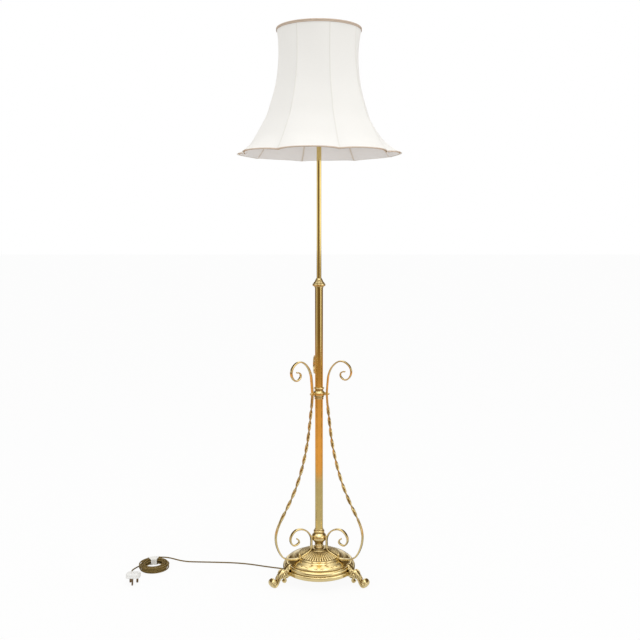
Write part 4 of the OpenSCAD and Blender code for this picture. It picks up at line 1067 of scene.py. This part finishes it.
def cloth(name, pale, thread, seam, seam_share):
    """Fine cloth with slubs along the weft and a darker line at its seams: painted shade on the cover, tan
    tape on the lining.
    """
    made, tree, base = finish(name, {"Roughness": 0.72, "Sheen Weight": 0.12})
    woven = use(tree, weave, {"Threads per m": 2200, "Slub": 0.35})
    colour = mix_colour(tree, math_node(tree, "MULTIPLY", woven["Slub"], 0.8, clamp=True), pale, thread)
    near_seam = math_node(tree, "MULTIPLY", stored(tree, "seam"), seam_share, clamp=True)
    tree.links.new(mix_colour(tree, near_seam, colour, seam), base.inputs["Base Color"])
    bump(tree, base, woven["Height"], 0.25, 0.00012)
    return made


# Where a gore's points lie across it, closer together at its seams
NEAR_SEAM = [0, 0.008, 0.018, 0.035, 0.07, 0.12, 0.18, 0.25, 0.32, 0.4, 0.47]
ACROSS = np.array(NEAR_SEAM + [0.5] + [1 - x for x in reversed(NEAR_SEAM[1:])])


def cloth_shell(name, shares, inward, thickness, tape, material, node):
    """A closed skin of cloth over the frame, with a raised line of width tape at each rib."""
    across = (np.arange(PANELS)[:, None] + ACROSS).ravel()
    off = np.minimum(across % 1, 1 - across % 1)
    wall = shade_point(shares[:, None], across[None, :])
    width = np.linalg.norm(shade_point(shares, 1) - shade_point(shares, 0), axis=1)
    raised = np.exp(-(off[None, :] * width[:, None] / tape) ** 2)
    radial = unit(wall * (1, 1, 0))
    lift = SEAM_LIFT * raised[..., None] * radial
    outer = shade_point(shares[:, None], across[None, :], inward)
    inner = outer - thickness * radial
    if inward:
        inner -= lift
    else:
        outer += lift
    rows, n = np.concatenate([outer, inner[::-1]]), len(across)
    piece = new_mesh(name, rows.reshape(-1, 3) * MM, skin(len(rows), n, closed=True), sharp_over=60)
    up, wide = [np.concatenate([line, line[::-1]])[:, None] * MM for line in (lengths(wall[:, 0]), width)]
    share = across % 1
    shares_at = share, np.where(np.roll(share, -1) == 0, 1, np.roll(share, -1))
    unwrap(piece, "cloth",
           lambda i, k: grid((shares_at[k] - 0.5) * np.roll(wide, -i, 0), np.roll(up, -i, 0)))
    store(piece.data, "seam", np.concatenate([raised, raised[::-1]]))
    fit(piece, material, "shade", node)
    return piece


# The cover's darker seam colour is painted shade along the seams
cover_cloth = cloth("cover_cloth", (0.90, 0.885, 0.85, 1), (0.84, 0.82, 0.77, 1), (0.72, 0.69, 0.62, 1), 0.5)
lining_cloth = cloth("lining_cloth", (0.80, 0.765, 0.745, 1), (0.74, 0.70, 0.68, 1), (0.56, 0.46, 0.34, 1),
                     0.85)
cover = cloth_shell("cover", np.linspace(0, 1, 58) ** 1.2, 0, COVER_T, 1.6, cover_cloth, "shade_cover")
lining_shares = LINING_LOW + (LINING_HIGH - LINING_LOW) * np.linspace(0, 1, 48) ** 1.2
lining = cloth_shell("lining", lining_shares, LINING_IN, LINING_T, 2.4, lining_cloth, "shade_lining")

# Braid: plaited champagne thread glued round the top and along the lobed lower edge
BRAID_PITCH = 3.2
EDGE_STEPS = 370
EASED_OVER = range(-6, 7)
braid_thread, tree, base = finish("braid_thread", {"Roughness": 0.5, "Metallic": 0.2, "Sheen Weight": 0.3,
                                                   "Sheen Roughness": 0.4})
strand = noise(tree, add(tree, "ShaderNodeTexCoord").outputs["Object"], 1500.0, 3.0)
strand_colour = mix_colour(tree, strand, (0.86, 0.74, 0.62, 1), (0.72, 0.58, 0.46, 1))
# Painted shade: the plait's low places between lobes, and its back, are coloured darker
colour = mix_colour(tree, stored(tree, "shaded_hollow"), strand_colour, (0.36, 0.26, 0.19, 1))
tree.links.new(colour, base.inputs["Base Color"])
bump(tree, base, strand, 0.35, 0.0002)


def braid(name, line, up, low, width, node, thick=1.5):
    """A flat plait along a closed line. up is the way across it, and the plait lies on the outer side."""
    line, up = np.array(line, float), np.array(up, float)
    run = lengths(np.vstack([line, line[:1]]))
    phase = run[:-1] / run[-1] * round(run[-1] / BRAID_PITCH)
    side = unit(np.cross(np.roll(line, -1, 0) - np.roll(line, 1, 0), up))
    side *= np.sign((side * line * (1, 1, 0)).sum(1))[:, None]
    t = np.linspace(-1, 1, 11)
    row = np.where(t < 0, 0.5, 0.0)
    wave = phase[:, None] + row[None, :] + 0.45 * np.where(t < 0, t, -t)[None, :]
    lobe = np.abs(np.sin(math.pi * wave)) ** 0.7
    lobe *= np.sqrt(np.clip(1 - (2 * np.abs(t) - 1) ** 2, 0, 1))[None, :]
    high = thick * (0.35 + 0.65 * lobe) * np.where(np.abs(t) > 0.99, 0.5, 1)[None, :]
    w = low + (t + 1) / 2 * width
    front = line[:, None] + w[None, :, None] * up[:, None] + high[..., None] * side[:, None]
    back = line[:, None] + w[[-1, 0], None] * up[:, None] + 0.05 * side[:, None]
    rows = np.concatenate([front, back], 1)
    piece = new_mesh(name, rows.reshape(-1, 3) * MM, skin(*rows.shape[:2], closed=True))
    piece.data.flip_normals()
    # Share of painted shade: between the lobes and all over the back
    store(piece.data, "shaded_hollow", np.concatenate([1 - lobe, np.ones((len(rows), 2))], 1))
    fit(piece, braid_thread, "shade", node)


TOP_R = SHADE_R * TOP_SHARE
n = round(math.tau * TOP_R / BRAID_PITCH) * 6
top_line = (0, 0, SHADE_Z + SHADE_H) + (TOP_R + 0.1) * circle(np.array([1, 0, 0]), np.array([0, 1, 0]), n)
braid("top_braid", top_line, [(0, 0, 1)] * n, -5, 8, "top_trim")
across = np.arange(PANELS * EDGE_STEPS) / EDGE_STEPS
edge = shade_point(0, across)
climb = unit(shade_point(0.012, across) - edge)
for _ in range(3):
    edge, climb = [sum(np.roll(line, k, 0) for k in EASED_OVER) / len(EASED_OVER) for line in (edge, climb)]
braid("bottom_braid", edge, climb, 0, 6.2, "bottom_trim")

# Tie: a white woven tape closed round the turns at the back of the coil
TIE_T = 0.6
TIE_AT = 81
TIE_SPAN = 43
TIE_IN = COIL_R - LAYER_TURNS * COIL_PITCH - FLEX_D / 2 - 0.3
TIE_OUT = COIL_R + COIL_PITCH / 6 + FLEX_D / 2 + 0.3
TIE_HIGH = COIL_LOW + LAYER_UP * (LAYERS - 1) + FLEX_D / 2 + 0.3
TIE_CORNER = 2.2
TIE_STEPS = 14
TAPE_STEP_LENGTH = 1.6
TAPE_SLACK = 0.12


def tape_outline(grow, n=6):
    """The tape's closed line round the turns, as (radius, height)."""
    low, high = (TIE_IN - grow, TIE_T - grow), (TIE_OUT + grow, TIE_HIGH + grow)
    corner = TIE_CORNER + grow
    out = []
    middles = ((high[0] - corner, low[1] + corner), (high[0] - corner, high[1] - corner),
               (low[0] + corner, high[1] - corner), (low[0] + corner, low[1] + corner))
    for (cx, cz), start in zip(middles, (-90, 0, 90, 180)):
        out += [(cx + corner * math.cos(math.radians(start + 90 * k / n)),
                 cz + corner * math.sin(math.radians(start + 90 * k / n))) for k in range(n + 1)]
    return fine(out + out[:1], 2.5)[:-1]


inner, outer = tape_outline(0), tape_outline(TIE_T)
outer = outer[:len(inner)]
section = []
for ring, steps in ((outer, range(TIE_STEPS + 1)), (inner, reversed(range(TIE_STEPS + 1)))):
    for k in steps:
        a = math.radians(TIE_AT + TIE_SPAN * k / TIE_STEPS)
        slack = TAPE_SLACK * math.sin(9 * k / TIE_STEPS) if k < TIE_STEPS else 0
        section.append([(COIL_AT[0] + (r + slack) * math.cos(a), COIL_AT[1] + (r + slack) * math.sin(a), z)
                        for r, z in ring])
points = np.array(section).transpose(1, 0, 2)
tape = new_mesh("tie_tape", points.reshape(-1, 3) * MM, skin(*points.shape[:2], closed=True), sharp_over=60)
around_at = lengths(inner + inner[:1])[:, None] * MM
along_at = np.array([*range(TIE_STEPS + 1), *reversed(range(TIE_STEPS + 1))]) * TAPE_STEP_LENGTH * MM
first = np.arange(len(inner))
unwrap(tape, "cloth", lambda i, k: grid(np.roll(along_at, -k), around_at[first + i]))
tape_cloth, tree, base = finish("tape_cloth", {"Roughness": 0.7, "Sheen Weight": 0.15})
woven = use(tree, weave, {"Threads per m": 1500, "Slub": 0.5})
# Painted shade: the weave's low threads are coloured darker
colour = mix_colour(tree, woven["Height"], (0.86, 0.84, 0.79, 1), (0.96, 0.95, 0.91, 1))
tree.links.new(colour, base.inputs["Base Color"])
bump(tree, base, woven["Height"], 0.5, 0.0002)
fit(tape, tape_cloth, "stand", "coil_tie")

# Plug: white moulded three-pin plug that lies on its pins, with a base, a crowned cover, a screw between the
# pins and flat brass pins. The flex goes in at the back.
PLUG_AT = (-602, -45)
PIN_TALL, PIN_SHORT, PIN_GAP = 22.7, 17.7, 22.2
PLUG_TILT = math.asin((PIN_TALL - PIN_SHORT) / PIN_GAP)
PLUG_W, PLUG_L = 44, 46
PLUG_MIDDLE = 13 - PLUG_L / 2
FLOOR_GAP = 0.5


def placed(points):
    """Tips points drawn with the pins straight down until all three pins touch the floor."""
    x, y, z = np.array(points, float).T
    cos, sin = math.cos(PLUG_TILT), math.sin(PLUG_TILT)
    return np.stack([x + PLUG_AT[0], y * cos + z * sin + PLUG_AT[1],
                     z * cos - y * sin + PIN_SHORT * cos + FLOOR_GAP], 1) * MM


def plug_ring(inset, z, sides=96):
    """A rounded outline, a little narrower at the flex end, that stays inside the plug's sides."""
    points = []
    for k in range(sides):
        a = math.tau * k / sides
        c, s = math.cos(a), math.sin(a)
        x = math.copysign(abs(c) ** 0.42, c) * (PLUG_W / 2 - inset)
        y = math.copysign(abs(s) ** 0.42, s) * (PLUG_L / 2 - inset)
        x *= 1 - 0.10 * max(0, y / (PLUG_L / 2)) ** 2
        points.append((x, y + PLUG_MIDDLE, z))
    return points


def moulding(name, rows):
    """A closed moulding from (inset, height) rows."""
    points = [p for inset, z in rows for p in plug_ring(inset, z)]
    return new_mesh(name, placed(points), skin(len(rows), len(points) // len(rows)), sharp_over=50)


white_plastic = plain("white_plastic", (0.90, 0.895, 0.88), (0.80, 0.78, 0.73), 0.3, 0.25, 900, 0.06)
bottom = moulding("plug_bottom", [(1.6, 0), (0.7, 0.25), (0.2, 0.9), (0, 2), (0, 7), (0.25, 7.6), (0.9, 8)])
lid = moulding("plug_lid", [(0.9, 8.1), (0.3, 8.5), (0.1, 9.2), (0.2, 11), (0.7, 13), (1.6, 14.7),
                            (2.9, 15.8), (4.6, 16.5), (7, 16.9), (11, 17.05), (16, 17.1), (20.5, 17.1)])
fit(bottom, white_plastic, "stand", "plug_base")
fit(lid, white_plastic, "stand", "plug_cover")


def pin(x, y, wide, deep, low):
    """A flat pin with a bevelled tip."""
    half_w, half_d, tip, edge = wide / 2, deep / 2, 1.1, 0.35
    points = []
    for w, d, z in ((half_w - tip, half_d - tip, low), (half_w - 0.3, half_d - 0.3, low + tip),
                    (half_w, half_d, low + 1.8), (half_w, half_d, 5.5)):
        w, d = max(w, 0.5), max(d, 0.5)
        points += [(x + sx * (w - ex), y + sy * (d - ey), z) for sx, sy, ex, ey in (
            (1, 1, edge, 0), (-1, 1, edge, 0), (-1, 1, 0, edge), (-1, -1, 0, edge),
            (-1, -1, edge, 0), (1, -1, edge, 0), (1, -1, 0, edge), (1, 1, 0, edge))]
    return new_mesh("pin", placed(points), skin(4, 8), sharp_over=30)


pins = joined("plug_blades", [pin(-11.1, 0, 6.3, 4, -PIN_SHORT), pin(11.1, 0, 6.3, 4, -PIN_SHORT),
                              pin(0, -PIN_GAP, 4, 8, -PIN_TALL)])
# The pins' polished colour is far darker than brass: a painted dark reflection, with tarnish over it
plug_brass = brass("plug_brass", 0.5, 0.2, 120, polished=(0.24, 0.15, 0.075, 1),
                   tarnished=(0.06, 0.035, 0.018, 1))
fit(pins, plug_brass, "stand", "plug_pins")
LID_SCREW = [(0, -1.4), (2.9, -1.4), (3.5, -1), (3.6, -0.4), (3.6, 0), (2, 0), (2, 12), (0, 12)]
screw = turned("lid_screw", LID_SCREW, 40)
at = np.array([v.co for v in screw.data.vertices]) / MM
slot_cut = (np.abs(at[:, 1]) < 0.45) & (at[:, 2] < -1.3)
at[slot_cut, 2] += 0.6
screw.data.vertices.foreach_set("co", placed(at + (0, -PIN_GAP / 2, 0)).ravel())
screw.data.update()
fit(screw, plated_steel, "stand", "plug_screw")
